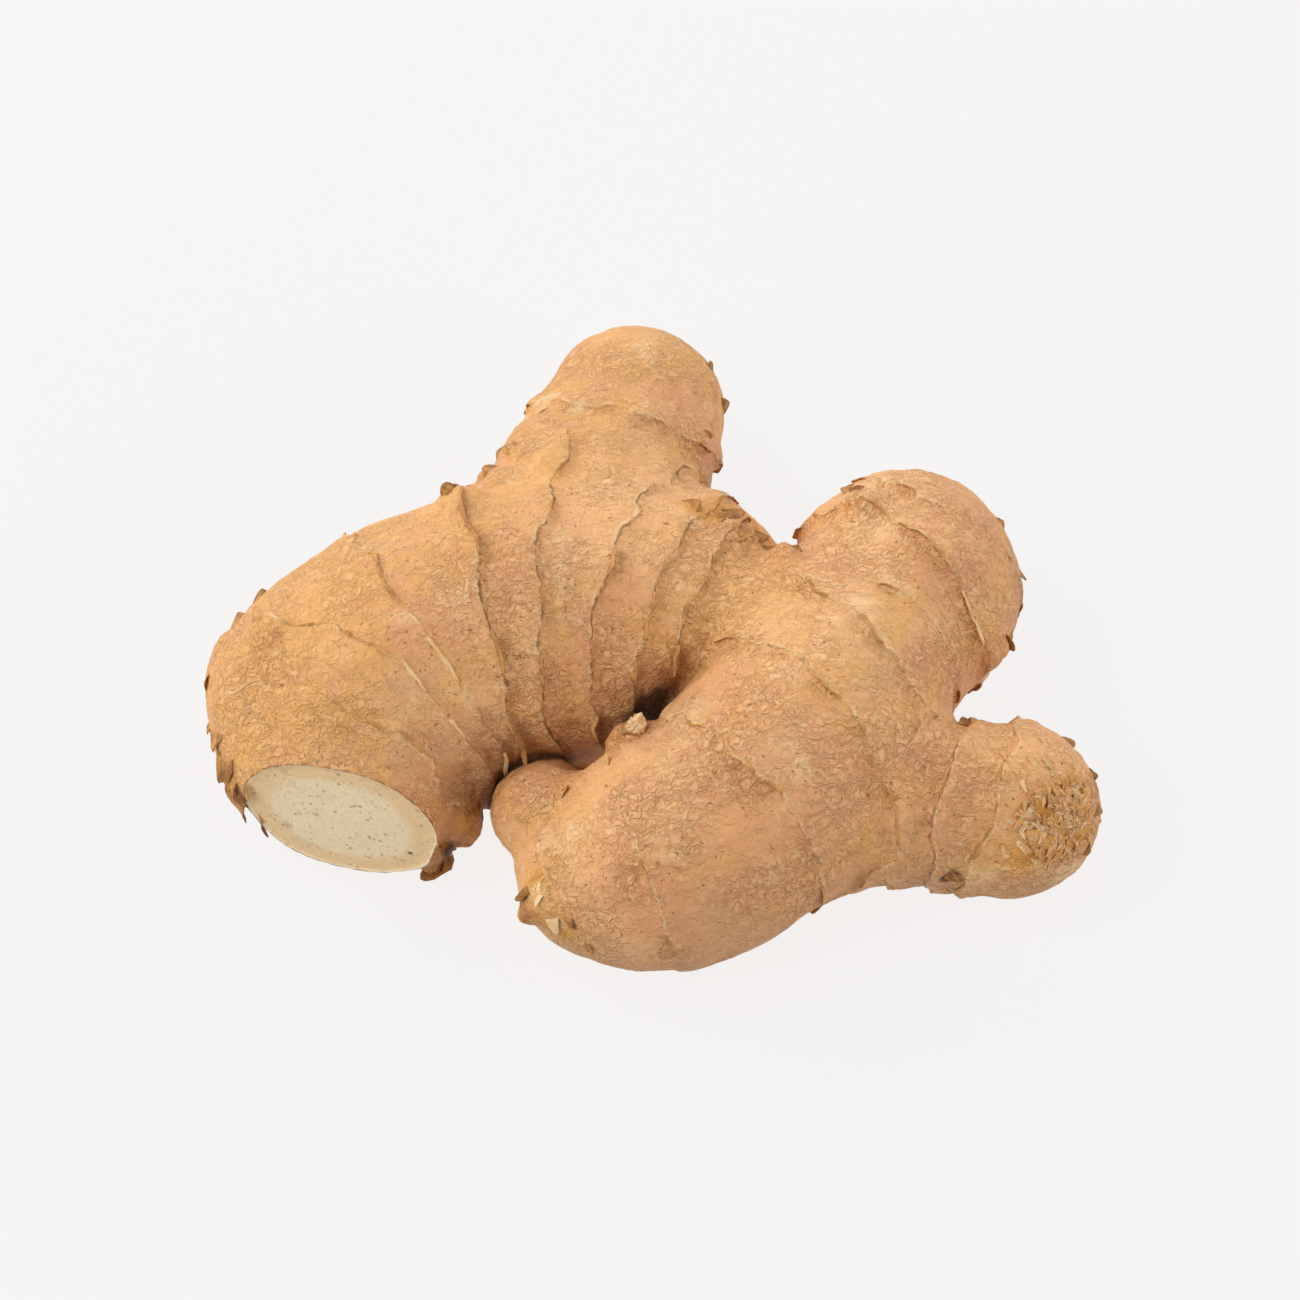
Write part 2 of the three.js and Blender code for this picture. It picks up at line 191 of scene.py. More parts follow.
# Patches of skin, as x, y, z and radius.
PATCHES = {
    "rosy": (
        (-6.8, -16.6, 30.2, 11), (-30.3, -13.4, 37.1, 12), (16.4, -37.9, 32.4, 12), (6.9, -52.8, 25.4, 8),
        (41.5, -0.1, 30.5, 7), (-14.2, -37.3, 22.8, 5),
    ),
    "ochre": (
        (-54, -23.2, 27.2, 9), (15.7, -6.5, 31.3, 8), (5.8, -14, 27, 6), (29, -27.4, 32.4, 6),
        (-44.2, -14.9, 34.6, 7), (6.1, 24.2, 24.1, 5), (-10.8, -39.5, 23.6, 4), (-14.5, -48.8, 18.8, 4),
        (-15.5, 36.6, 25.1, 4), (47.1, -42.6, 16.1, 4),
    ),
    # Dark spots: partly real dirt, partly painted shade in holes, hollows and beside the crevice.
    "dirt_and_shade": (
        (1.6, -22.5, 21, 2.2), (0.9, -20, 20, 4), (-28, -34.6, 7.7, 1.5), (41.5, -42.9, 11.9, 1.1),
        (-10.4, -53.3, 15.3, 0.6), (-58.2, -28.2, 12.5, 1), (39.9, -25, 25.9, 0.4), (-57, -2, 22, 0.7),
    ),
    # Stains, and painted shade on the lower mother lobe beside the crevice.
    "stain_and_shade": (
        (-23.5, -29, 18.5, 5.5), (-21.5, -27, 22, 5), (-3, -18.5, 22, 4), (-12, -20, 21, 4),
        (4, -16.5, 24, 4), (-58, -27, 14, 3), (-55, -30, 8, 3), (-17, -49.6, 13.8, 2.4),
        (61.5, -31, 17, 2.4),
    ),
    "bleached": (
        (-14.8, -49.5, 17.6, 1.5), (-12.6, -52.2, 15, 1.3), (57.8, -41.5, 11.4, 2.8),
        (-15.5, 36.6, 25.1, 1.6), (-10.9, 30.9, 29.9, 1.4), (-1.2, 45, 25, 3),
    ),
    "scarred": (
        (55.2, -38.5, 20.9, 4.2), (58.8, -34.7, 20.6, 3.2), (52.5, -42.4, 17, 2.6),
        (59.5, -38, 17.5, 3.4), (-12.3, -52.6, 14, 2.6), (-15.5, -49, 17.9, 2.4), (7.4, 8.9, 31.1, 2.6),
        (12.5, 11.6, 27.7, 3.4), (16.2, 8.6, 26, 3.6), (-25.2, -33.7, 12.4, 2.6),
    ),
}

# Loose scraps of dry skin: x, y, z of the root, heading along x, y and z, length, width, lift at the tip,
# and shade from brown at 0 to pale at 1.
SCRAPS = (
    (-58.6, -24.5, 19, 0, -0.5, -1, 8, 6, 2, 0.15), (-58.4, -27, 17, 0, -0.6, -1, 7, 4, 1.6, 0.5),
    (-58, -27.6, 13.5, 0.2, -0.6, -1, 7.5, 6, 2.4, 0.05),
    (-56, -28.8, 9, 0.8, -0.3, -0.9, 6, 5, 1.6, 0.2), (-60, -22, 20, -0.1, -0.5, -0.9, 5, 4, 1.2, 0.4),
    (-54.5, -28.5, 15.5, -0.3, -1, 0.2, 2.6, 4, 0.7, 0.6),
    (-28.6, -33, 6.5, 0.3, -0.6, -1, 6, 5, 1.6, 0.15),
    (-29.4, -33.6, 10.5, 0.2, -1, -0.6, 3, 2.4, 0.9, 0.3),
    (-24.4, -31.5, 15, 0.3, -1, -0.5, 3, 3.2, 0.7, 0.35),
    (-55.6, -3, 25, -0.6, 1, 0.3, 3.2, 3.4, 1.1, 0.1),
    (-57.5, -6, 22, -0.6, 0.9, 0.3, 2.8, 3.8, 0.8, 0.4),
    (-62, -13.5, 19, -0.2, -0.6, 0.9, 2.4, 3, 0.8, 0.2),
    (-61.6, -18.5, 17, -0.2, -0.6, -0.8, 2.8, 2.4, 0.8, 0.25),
    (-28, 7, 36, -0.5, 0.8, 0.6, 2.6, 3.4, 0.9, 0.05),
    (-26.4, 8.6, 34, -0.8, 0.6, 0.2, 2.4, 2.6, 0.8, 0.3),
    (-22, 14.5, 31, -0.7, 0.7, 0.1, 2.6, 3.6, 0.8, 0.35), (-22, 27, 24, -0.8, 0.6, 0, 2.6, 3, 0.8, 0.3),
    (-14.5, 34.5, 27, -0.6, 0.8, 0.2, 2.4, 5, 0.8, 0.95), (-10.5, 32, 29.5, -0.3, 1, 0, 2, 3.4, 0.7, 1),
    (9.6, 46.5, 21, 0.4, 0.9, 0.3, 2.8, 3, 1, 0.1), (11, 43.8, 16, 0.5, 0.8, -0.4, 2.8, 2.8, 1, 0.1),
    (9.4, 33, 21, 0.2, 0.8, -0.5, 3, 3, 0.8, 0.3), (8.4, 25, 22, 0.2, -0.4, -1, 3, 3.4, 0.9, 0.35),
    (5.5, 9.5, 31.5, 0.8, 0.5, -0.2, 3.4, 3.6, 1, 0.25), (9.5, 8, 30.5, 0.9, 0.3, -0.3, 3, 3.2, 1, 0.1),
    (12, 10.5, 28.8, 0.8, 0.6, -0.3, 3.2, 3.8, 1.2, 0.2),
    (15.5, 8, 27, 0.9, 0.3, -0.3, 3, 3.6, 1.2, 0.05), (12.5, 4.5, 30, 1, -0.1, -0.2, 3, 3, 0.8, 0.3),
    (16.5, 4.5, 27.5, 0.9, 0, -0.4, 2.6, 3, 0.9, 0.15), (20, 1.6, 28.4, 0.4, 0.9, 0.2, 2, 2.2, 0.8, 0.1),
    (30.8, 15.5, 27.6, -0.7, 0.6, 0.2, 2.4, 3.4, 0.9, 0.2),
    (30, 18, 25, -0.8, 0.5, 0, 2.4, 2.8, 0.8, 0.4), (50.5, 13.5, 22, 0.7, 0.6, 0.1, 2.6, 2.8, 0.9, 0.2),
    (53.3, 8, 19, 0.9, -0.2, -0.4, 2.6, 3, 1, 0.15), (52, -1, 15.5, 0.8, -0.5, -0.3, 2.6, 3.4, 1, 0.05),
    (51.2, -4.5, 18, 0.8, -0.6, -0.1, 2.6, 3, 1, 0.25),
    (45, -23, 22.4, -0.2, 0.9, 0.2, 2.2, 3.6, 0.9, 0.15),
    (58.6, -24.2, 19, 0.7, 0.6, 0, 2.4, 2.8, 0.8, 0.2), (61.2, -29, 18, 0.9, 0.3, -0.2, 2.6, 3, 1, 0.05),
    (61.5, -34, 17, 0.9, -0.1, -0.4, 2.8, 2.8, 1, 0.3),
    (60.3, -38.5, 14, 0.8, -0.3, -0.5, 2.8, 2.6, 1, 0.15),
    (40.5, -42.6, 13.5, 0.9, -0.2, -0.4, 4.6, 2.4, 0.9, 0.1),
    (-15.4, -47, 16.8, -0.7, -0.6, -0.5, 4.8, 3, 1, 0.1),
    (-14, -48.6, 19.5, -0.3, -0.7, -0.8, 5, 2.2, 0.7, 1),
    (-13, -51, 15.2, 0.3, -0.5, -0.8, 3.6, 2, 0.8, 0.95),
    (-11, -52, 17, 0.5, -0.5, -0.7, 3, 1.8, 0.7, 0.2),
    (-9.4, -54.6, 12.4, 0.7, -0.4, -0.4, 3, 2, 0.7, 0.35),
    (-12.6, -36.6, 23.8, 0.8, 0.1, 0.2, 3.4, 2.2, 0.8, 0.25),
    (-6.6, -33.6, 26, 0.5, 0.8, 0.2, 2.6, 2.8, 0.9, 0.7),
    (-3.8, -30, 25.6, 0.4, 0.9, 0, 2.4, 2.4, 0.9, 0.5),
)
SCRAP_ROWS = 7  # rows of faces along a scrap
SCRAP_COLUMNS = 6  # and across it
SCRAP_LENGTH = 0.7  # how much of its length a scrap keeps after drying
FIBRES = 230  # slivers matted over the finger's scar
FIBRE_AT = np.array((56.6, -37.4, 19.4))  # the scar's middle
FIBRE_SPREAD = 8.5  # how far from there they lie
FIBRE_LIFT = 0.3  # and how far their tips lift
STUB_AT = np.array((-2, -26.2, 24.8))  # the broken stub's middle
STUB_LEAN = (0.25, -0.35, 0.9)  # the way that it points
STUB_SIZE = (2, 1.5, 3)  # its half widths and its height
SCALE_STEPS = 260  # steps round a ring's torn scale
SCALE_REACH = (0.22, 0.05, -0.5, -1)  # its rows along the lobe, in shares of its fringe once past the ring
SCALE_HEIGHT = (-0.45, 0.1, 0.2, 0.24)  # and their heights over the skin


# ---- Numbers made from the tables ----

def unit(v):
    """The vectors of v at length one."""
    return v / np.maximum(np.linalg.norm(v, axis=-1, keepdims=True), 1e-9)


def smooth(t):
    """0 below 0, 1 above 1, and a soft step between."""
    t = np.clip(t, 0, 1)
    return t * t * (3 - 2 * t)


def spline(stations):
    """Points along a Catmull-Rom curve through the stations, SPAN_STEPS to a span."""
    known = np.array(stations, float)
    known = np.vstack([2 * known[0] - known[1], known, 2 * known[-1] - known[-2]])
    t = np.arange((len(stations) - 1) * SPAN_STEPS + 1) / SPAN_STEPS
    k = np.minimum(t.astype(int), len(stations) - 2)
    t = (t - k)[:, None]
    before, start, end, after = (known[k + i] for i in range(4))
    leave = (end - before) / 2
    arrive = (after - start) / 2
    return (start + leave * t + (3 * (end - start) - 2 * leave - arrive) * t ** 2
            + (2 * (start - end) + leave + arrive) * t ** 3)


def lattice(corner, seed):
    """A number from 0 to 1 for each whole-numbered corner, the same in every run."""
    mixed = (corner[..., 0] * 374761393 + corner[..., 1] * 668265263 + corner[..., 2] * 2147483647
             + seed * 1274126177).astype(np.uint32)
    mixed = ((mixed ^ (mixed >> 13)) * np.uint32(1274126177)).astype(np.uint32)
    return (mixed ^ (mixed >> 16)).astype(np.float64) / 4294967295


def noise(points, size, seed):
    """Smooth noise from -1 to 1 whose lumps are about size across."""
    scaled = np.asarray(points) / size + 1000
    low = np.floor(scaled).astype(np.int64)
    part = scaled - low
    part = part * part * (3 - 2 * part)
    total = 0
    for corner in np.ndindex(2, 2, 2):
        total = total + np.where(corner, part, 1 - part).prod(1) * lattice(low + corner, seed)
    return 2 * total - 1


def cone_distance(p, a, b):
    """The distance from each point to its round cone from a to b, its slope, and how far along it is."""
    span = b[..., :3] - a[..., :3]
    length = np.linalg.norm(span, axis=-1)
    off = p - a[..., :3]
    along = (off * span).sum(-1) / length
    across = np.sqrt(np.maximum((off ** 2).sum(-1) - along ** 2, 0))
    taper = np.clip((a[..., 3] - b[..., 3]) / length, -0.9, 0.9)
    t = np.clip((along - across * taper / np.sqrt(1 - taper ** 2)) / length, 0, 1)
    off = off - span * t[:, None]
    flat = a[..., 4] + (b[..., 4] - a[..., 4]) * t
    off[:, 2] /= flat
    size = np.linalg.norm(off, axis=1)
    slope = off / np.maximum(size, 1e-9)[:, None]
    slope[:, 2] /= flat
    return size - a[..., 3] - (b[..., 3] - a[..., 3]) * t, slope, t


class Ring:
    """The scar of a leaf scale, as a plane across its lobe."""

    def __init__(self, limb, points, station, lean, rake, reach, lip, ink=0.5, bow=0):
        i = min(int(station * SPAN_STEPS), len(points) - 2)
        here = points[i] + (points[i + 1] - points[i]) * (station * SPAN_STEPS - i)
        along = unit(points[i + 1, :3] - points[i, :3])
        side = unit(np.cross(along, (0, 0, 1)))
        self.limb = limb
        self.lip = lip
        self.ink = ink
        self.bow = bow / here[3]
        self.at = here[:3]
        self.facing = unit(along + side * lean + np.cross(side, along) * rake)
        self.side = unit(np.cross(self.facing, (0, 0, 1)))
        self.up = np.cross(self.side, self.facing)
        self.radius = here[3]
        self.reach = reach * here[3]

    def past(self, p):
        """How far points are past the ring, along its lobe."""
        wander = np.sin(0.43 * p[:, 0] + 0.31 * p[:, 2]) * np.sin(0.37 * p[:, 1] - 0.29 * p[:, 2] + 1)
        off = p - self.at
        return off @ self.facing + self.bow * (off @ self.side) ** 2 + RING_WANDER * wander

    def fade(self, p):
        """1 well within the ring's reach, and 0 beyond it."""
        return smooth((1.1 - np.linalg.norm(p - self.at, axis=1) / self.reach) / 0.1)


class Lobe:
    """A lobe as a chain of round cones."""

    def __init__(self, limb, stations, rings):
        self.limb = limb
        self.points = spline(stations)
        steps = np.linalg.norm(np.diff(self.points[:, :3], axis=0), axis=1)
        self.arc = np.concatenate([[0], np.cumsum(steps)])
        tangents = unit(np.gradient(self.points[:, :3], axis=0))
        self.side = unit(np.cross(tangents, (0, 0, 1)))
        self.up = np.cross(self.side, tangents)
        self.along = tangents
        self.rings = [Ring(limb, self.points, *ring) for ring in rings]

    def nearest(self, p):
        """The distance from points to the lobe, its slope, the nearest cone and how far along it."""
        points = self.points
        centres = points[::2, :3]
        gap = (p ** 2).sum(1)[:, None] + (centres ** 2).sum(1) - 2 * p @ centres.T
        gap += (p[:, 2:] - centres[:, 2]) ** 2 * (1 / points[::2, 4] ** 2 - 1)
        gap = np.sqrt(np.maximum(gap, 0))
        ball = 2 * np.argmin(gap - points[::2, 3], axis=1)
        best = np.full(len(p), np.inf), np.zeros_like(p), np.zeros(len(p), int), np.zeros(len(p))
        for step in (-3, -2, -1, 0, 1, 2):
            index = np.clip(ball + step, 0, len(points) - 2)
            distance, slope, t = cone_distance(p, points[index], points[index + 1])
            closer = distance < best[0]
            for kept, new in zip(best, (distance, slope, index, t)):
                kept[closer] = new[closer]
        return best

    def near(self, p):
        """Which points are near enough to feel the lobe."""
        middle = self.points[:, :3]
        low = (middle - self.points[:, 3:4]).min(0) - REACH
        high = (middle + self.points[:, 3:4]).max(0) + REACH
        return ((p > low) & (p < high)).all(1)

    def place(self, p, index, t):
        """Where points lie in the lobe drawn out straight: along it, to its side and up from its middle."""
        mix = t[:, None]
        off = p - (self.points[index, :3] * (1 - mix) + self.points[index + 1, :3] * mix)
        start = self.arc[index] + (self.arc[index + 1] - self.arc[index]) * t
        frame = [v[index] * (1 - mix) + v[index + 1] * mix for v in (self.along, self.side, self.up)]
        place = np.stack([(off * v).sum(1) for v in frame], axis=1)
        place[:, 0] += start
        return place


lobes = [Lobe(*lobe) for lobe in LOBES.values()]
rings = [ring for lobe in lobes for ring in lobe.rings]
buds = [np.array([(*end, 1) for end in bud]) for bud in BUDS]


def skin_field(p):
    """Below zero inside the hand and above zero outside, with its slope and how near each limb is."""
    share = np.full((len(LIMBS), len(p)), FAINT)
    pull = np.zeros((len(LIMBS), *p.shape))
    for lobe in lobes:
        near = lobe.near(p)
        distance, slope, _, _ = lobe.nearest(p[near])
        weight = np.exp(-distance / BLEND)
        limb = LIMBS.index(lobe.limb)
        share[limb, near] += weight
        pull[limb, near] += slope * weight[:, None]
    limbs = -BLEND * np.log(share)
    lowest = limbs.min(0)
    softness = CREVICE_BLEND + SADDLE_BLEND * smooth((p[:, 0] - SADDLE_FROM) / SADDLE_RUN)
    weight = np.exp(-(limbs - lowest) / softness)
    skin = lowest - softness * np.log(weight.sum(0))
    swell = np.sin(0.29 * p[:, 0] + 0.9) * np.sin(0.26 * p[:, 1] + 0.4) * np.cos(0.21 * p[:, 2])
    skin -= SWELL * swell
    slope = (pull / share[:, :, None] * (weight / weight.sum(0))[:, :, None]).sum(0)
    for root, tip in buds:
        near = np.linalg.norm(p - root[:3], axis=1) < BUD_NEAR
        bud, lean, _ = cone_distance(p[near], root, tip)
        own = np.exp(-bud / BUD_BLEND)
        rest = np.exp(-np.maximum(skin[near], DEEP) / BUD_BLEND)
        part = (own / (own + rest))[:, None]
        slope[near] = lean * part + slope[near] * (1 - part)
        skin[near] = np.where(skin[near] < DEEP, skin[near], -BUD_BLEND * np.log(own + rest))
    return skin, slope, limbs


def settle(p, passes):
    """Points moved straight onto the skin."""
    for _ in range(passes):
        skin, slope, _ = skin_field(p)
        p = p - slope * (skin / np.maximum((slope ** 2).sum(1), 0.4))[:, None]
    return p


# ---- Blender's side of the work ----

def linear(red, green, blue):
    """A colour given as it looks on a screen, 0 to 255, in Blender's linear terms."""
    return tuple(((c / 255 + 0.055) / 1.055) ** 2.4 for c in (red, green, blue))


def deselect():
    """Nothing selected, so that the next operator acts on what it adds."""
    for thing in bpy.context.selected_objects:
        thing.select_set(False)


def choose(thing):
    """Only this object selected, and active."""
    deselect()
    thing.select_set(True)
    bpy.context.view_layer.objects.active = thing


def join(things, name):
    """Several objects made one."""
    choose(things[0])
    for thing in things:
        thing.select_set(True)
    bpy.ops.object.join()
    things[0].name = name
    return things[0]


def apply(thing, kind, **settings):
    """A modifier added with its settings and applied."""
    choose(thing)
    made = thing.modifiers.new(kind.title(), kind)
    for name, value in settings.items():
        setattr(made, name, value)
    bpy.ops.object.modifier_apply(modifier=made.name)


def read(items, name, width=3, kind=float):
    """A row of numbers for each of a mesh's items."""
    flat = np.empty(len(items) * width, kind)
    items.foreach_get(name, flat)
    return flat.reshape(-1, width)


def points_of(thing):
    """The object's vertices, in millimetres."""
    return read(thing.data.vertices, "co") / MM


def put_points(thing, p):
    """The object's vertices moved to p, in millimetres."""
    thing.data.vertices.foreach_set("co", (p * MM).ravel())
    thing.data.update()


def relax(p, edges, amount=0.6):
    """Points drawn towards the middle of their neighbours."""
    total = np.zeros_like(p)
    count = np.zeros(len(p))
    for a, b in (edges.T, edges.T[::-1]):
        count += np.bincount(a, minlength=len(p))
        for axis in range(3):
            total[:, axis] += np.bincount(a, p[b, axis], minlength=len(p))
    return p + (total / count[:, None] - p) * amount


def keep_number(thing, name, values):
    """A number for each vertex, kept for the materials."""
    thing.data.attributes.new(name, "FLOAT", "POINT").data.foreach_set("value", values)


# ---- Relief ----

def ragged(p):
    """How far the torn edge of a leaf scale strays, in millimetres."""
    return 0.5 * noise(p, 4.2, 3) + 0.34 * noise(p, 1.9, 4) + 0.16 * noise(p, 0.9, 5)


def ring_relief(p, limbs):
    """The lift of every ring, and for the nearest how far past it, how strong and how dark its line is."""
    near = np.exp(-(limbs - limbs.min(0)) / 0.8)
    near /= near.sum(0)
    stray = ragged(p)
    worn = np.clip(0.8 + 0.9 * noise(p, 4.5, 6), 0.15, 1.35)
    lift = np.zeros(len(p))
    nearest = np.zeros((3, len(p)))
    nearest[0] = FAR
    best = np.full(len(p), FAR)
    second = best.copy()
    for ring in rings:
        past = ring.past(p) + stray
        show = ring.fade(p) * near[LIMBS.index(ring.limb)]
        crest = np.where(past < 0, smooth(1 + past / LIP_CLIMB), smooth(1 - past / LIP_FALL))
        gutter = np.exp(-((past + 1.5 * LIP_CLIMB) / (0.7 * LIP_CLIMB)) ** 2)
        basin = np.exp(-((past + 2.4) / 1.8) ** 2)
        lift += show * (worn * (ring.lip * crest - 0.18 * gutter) - 0.5 * ring.lip * basin)
        score = np.abs(past) + 12 * (1 - show)
        closer = score < best
        second = np.where(closer, best, np.minimum(second, score))
        best[closer] = score[closer]
        nearest[:, closer] = past[closer], show[closer], np.full(closer.sum(), ring.ink)
    nearest[1:] *= smooth((second - best) / 0.8)
    return lift, *nearest


def bud_nearness(p):
    """1 at the tips of the buds, and 0 away from them."""
    nearness = np.zeros(len(p))
    for root, tip in buds:
        distance, _, along = cone_distance(p, root, tip)
        nearness = np.maximum(nearness, smooth(1 - distance / 1.2) * (0.35 + 0.65 * along))
    return nearness


def patch_share(p, centres):
    """1 in the middle of the patches and 0 off them, with wandering edges."""
    share = np.zeros(len(p))
    wander = 0.3 * noise(p, 3.3, 18) + 0.2 * noise(p, 1.2, 19)
    for *middle, radius in centres:
        share = np.maximum(share, smooth(1.5 - np.linalg.norm(p - middle, axis=1) / radius + wander))
    return share


def wrinkle_relief(p, place, calm):
    """Creases along the lobes and shallow dents, in millimetres."""
    bent = place + 0.9 * np.stack([noise(p, 3.1, seed) for seed in (11, 12, 13)], axis=1)
    fold = 1 - 2 * np.abs(noise(bent / (3.4, 1.25, 1.25), 1, 14))
    crease = 1 - 2 * np.abs(noise(bent / (6.5, 2.6, 2.6), 1, 15))
    dents = noise(p, 9, 16) + 0.5 * noise(p, 4.5, 17)
    return calm * (0.11 * fold + 0.13 * crease) + 0.16 * dents


# ---- Materials ----

def add(tree, kind, inputs=None, **settings):
    """A shader node with its settings, its inputs set or linked."""
    made = tree.nodes.new("ShaderNode" + kind)
    for name, value in settings.items():
        setattr(made, name, value)
    for name, value in (inputs or {}).items():
        if isinstance(value, bpy.types.NodeSocket):
            tree.links.new(value, made.inputs[name])
        else:
            made.inputs[name].default_value = value
    return made


def calc(tree, operation, *values):
    """One step of arithmetic."""
    return add(tree, "Math", dict(enumerate(values)), operation=operation).outputs[0]


def times(tree, first, second):
    """One number multiplied by another."""
    return calc(tree, "MULTIPLY", first, second)


def ramp(tree, value, start, end, low=0, high=1):
    """A soft step from low at start to high at end."""
    sockets = {"Value": value, "From Min": start, "From Max": end, "To Min": low, "To Max": high}
    return add(tree, "MapRange", sockets, interpolation_type="SMOOTHSTEP").outputs[0]


def blend(tree, share, first, second):
    """One colour turned into another."""
    first, second = (v if isinstance(v, bpy.types.NodeSocket) else (*v, 1)[:4] for v in (first, second))
    return add(tree, "Mix", {0: share, 6: first, 7: second}, data_type="RGBA").outputs[2]


def layered(tree, settings, base, layers):
    """A colour under layers, each of them a share and a colour, by their names in the settings."""
    colour = getattr(settings, base)
    for share, name in layers:
        colour = blend(tree, share, colour, getattr(settings, name))
    return colour


def cloud(tree, vector, size, detail=2, rough=0.5):
    """Noise from 0 to 1 whose lumps are about size across, in millimetres."""
    sockets = {"Vector": vector, "Scale": 1 / size, "Detail": detail, "Roughness": rough}
    return add(tree, "TexNoise", sockets).outputs[0]


def spots(tree, vector, size, detail, rough, *steps):
    """Noise turned into patches by a ramp."""
    return ramp(tree, cloud(tree, vector, size, detail, rough), *steps)


def vectors(tree, operation, *values):
    """One step of arithmetic on vectors."""
    return add(tree, "VectorMath", dict(enumerate(values)), operation=operation).outputs[0]


def scaled(tree, vector, *factors):
    """A vector multiplied along each axis."""
    return vectors(tree, "MULTIPLY", vector, factors)


def number(tree, name):
    """A number kept on the mesh."""
    return add(tree, "Attribute", attribute_name=name).outputs["Fac"]


def millimetres(tree):
    """The point on the object, in millimetres."""
    return scaled(tree, add(tree, "TexCoord").outputs["Object"], 1 / MM, 1 / MM, 1 / MM)


def group(name, inputs, outputs):
    """A new node group with its named inputs and outputs."""
    made = bpy.data.node_groups.new(name, "ShaderNodeTree")
    for side, sockets in (("INPUT", inputs), ("OUTPUT", outputs)):
        for label, kind in sockets.items():
            made.interface.new_socket(label, in_out=side, socket_type="NodeSocket" + kind)
    return made, made.nodes.new("NodeGroupInput").outputs, made.nodes.new("NodeGroupOutput").inputs


def crease_group():
    """Fine crinkles all over the skin, like those of thin leather."""
    made, given, result = group("creases", {"Point": "Vector", "Size": "Float"}, {"Height": "Float"})
    warp = add(made, "TexNoise", {"Vector": given["Point"], "Scale": 0.6, "Detail": 1}).outputs["Color"]
    shift = vectors(made, "MULTIPLY_ADD", warp, (2.6, 2.6, 2.6), (-1.3, -1.3, -1.3))
    bent = scaled(made, vectors(made, "ADD", given["Point"], shift), 0.6, 1, 1)
    scale = calc(made, "DIVIDE", 1, given["Size"])
    worm = {"Vector": bent, "Scale": scale, "Detail": 1.5, "Distortion": 0.9}
    worm = add(made, "TexNoise", worm).outputs[0]
    cell = add(made, "TexVoronoi", {"Vector": bent, "Scale": times(made, scale, 0.8)},
               feature="DISTANCE_TO_EDGE").outputs["Distance"]
    worm = times(made, ramp(made, worm, 0.34, 0.62), 0.75)
    height = calc(made, "MULTIPLY_ADD", ramp(made, cell, 0, 0.22), 0.25, worm)
    made.links.new(height, result["Height"])
    return made


def ring_group():
    """The torn line of a leaf scar, its dry crest, and painted shade on the skin before it, under the lip's
    step.
    """
    made, given, result = group(
        "ring_marks", {"Point": "Vector", "Past": "Float", "Ring": "Float", "Ink": "Float"},
        {"Line": "Float", "LipShade": "Float", "Crest": "Float"})
    rough = calc(made, "MULTIPLY_ADD", cloud(made, given["Point"], 1.1, 3, 0.7), 0.9, -0.45)
    edge = calc(made, "ADD", given["Past"], rough)
    dark = times(made, given["Ink"], given["Ring"])
    for name, rise, fall, patches, strength in (
            ("Line", (-0.42, -0.24), (0.04, -0.12), (3.2, 4, 0.7, 0.42, 0.56), dark),
            # The band before the ring is painted shade under the lip's step, darker where the line is
            # darker.
            ("LipShade", (-3.4, -0.4), (0.1, -0.2), (5, 3, 0.5, 0.4, 0.66), dark),
            ("Crest", (-0.12, 0.06), (0.55, 0.2), (3.1, 4, 0.7, 0.42, 0.56), given["Ring"])):
        band = times(made, ramp(made, edge, *rise), ramp(made, edge, *fall))
        band = times(made, band, spots(made, given["Point"], *patches))
        made.links.new(times(made, band, strength), result[name])
    return made


def new_material(name, roughness, specular=0.5):
    """A new material, its node tree and its Principled shader."""
    material = bpy.data.materials.new(name)
    material.use_nodes = True
    tree = material.node_tree
    shader = tree.nodes["Principled BSDF"]
    shader.inputs["Roughness"].default_value = roughness
    shader.inputs["Specular IOR Level"].default_value = specular
    return material, tree, shader


def dress(tree, shader, colour, height, strength, distance):
    """The shader given its colour and its bumps."""
    bump = add(tree, "Bump", {"Strength": strength, "Distance": distance, "Height": height})
    tree.links.new(colour, shader.inputs["Base Color"])
    tree.links.new(bump.outputs[0], shader.inputs["Normal"])


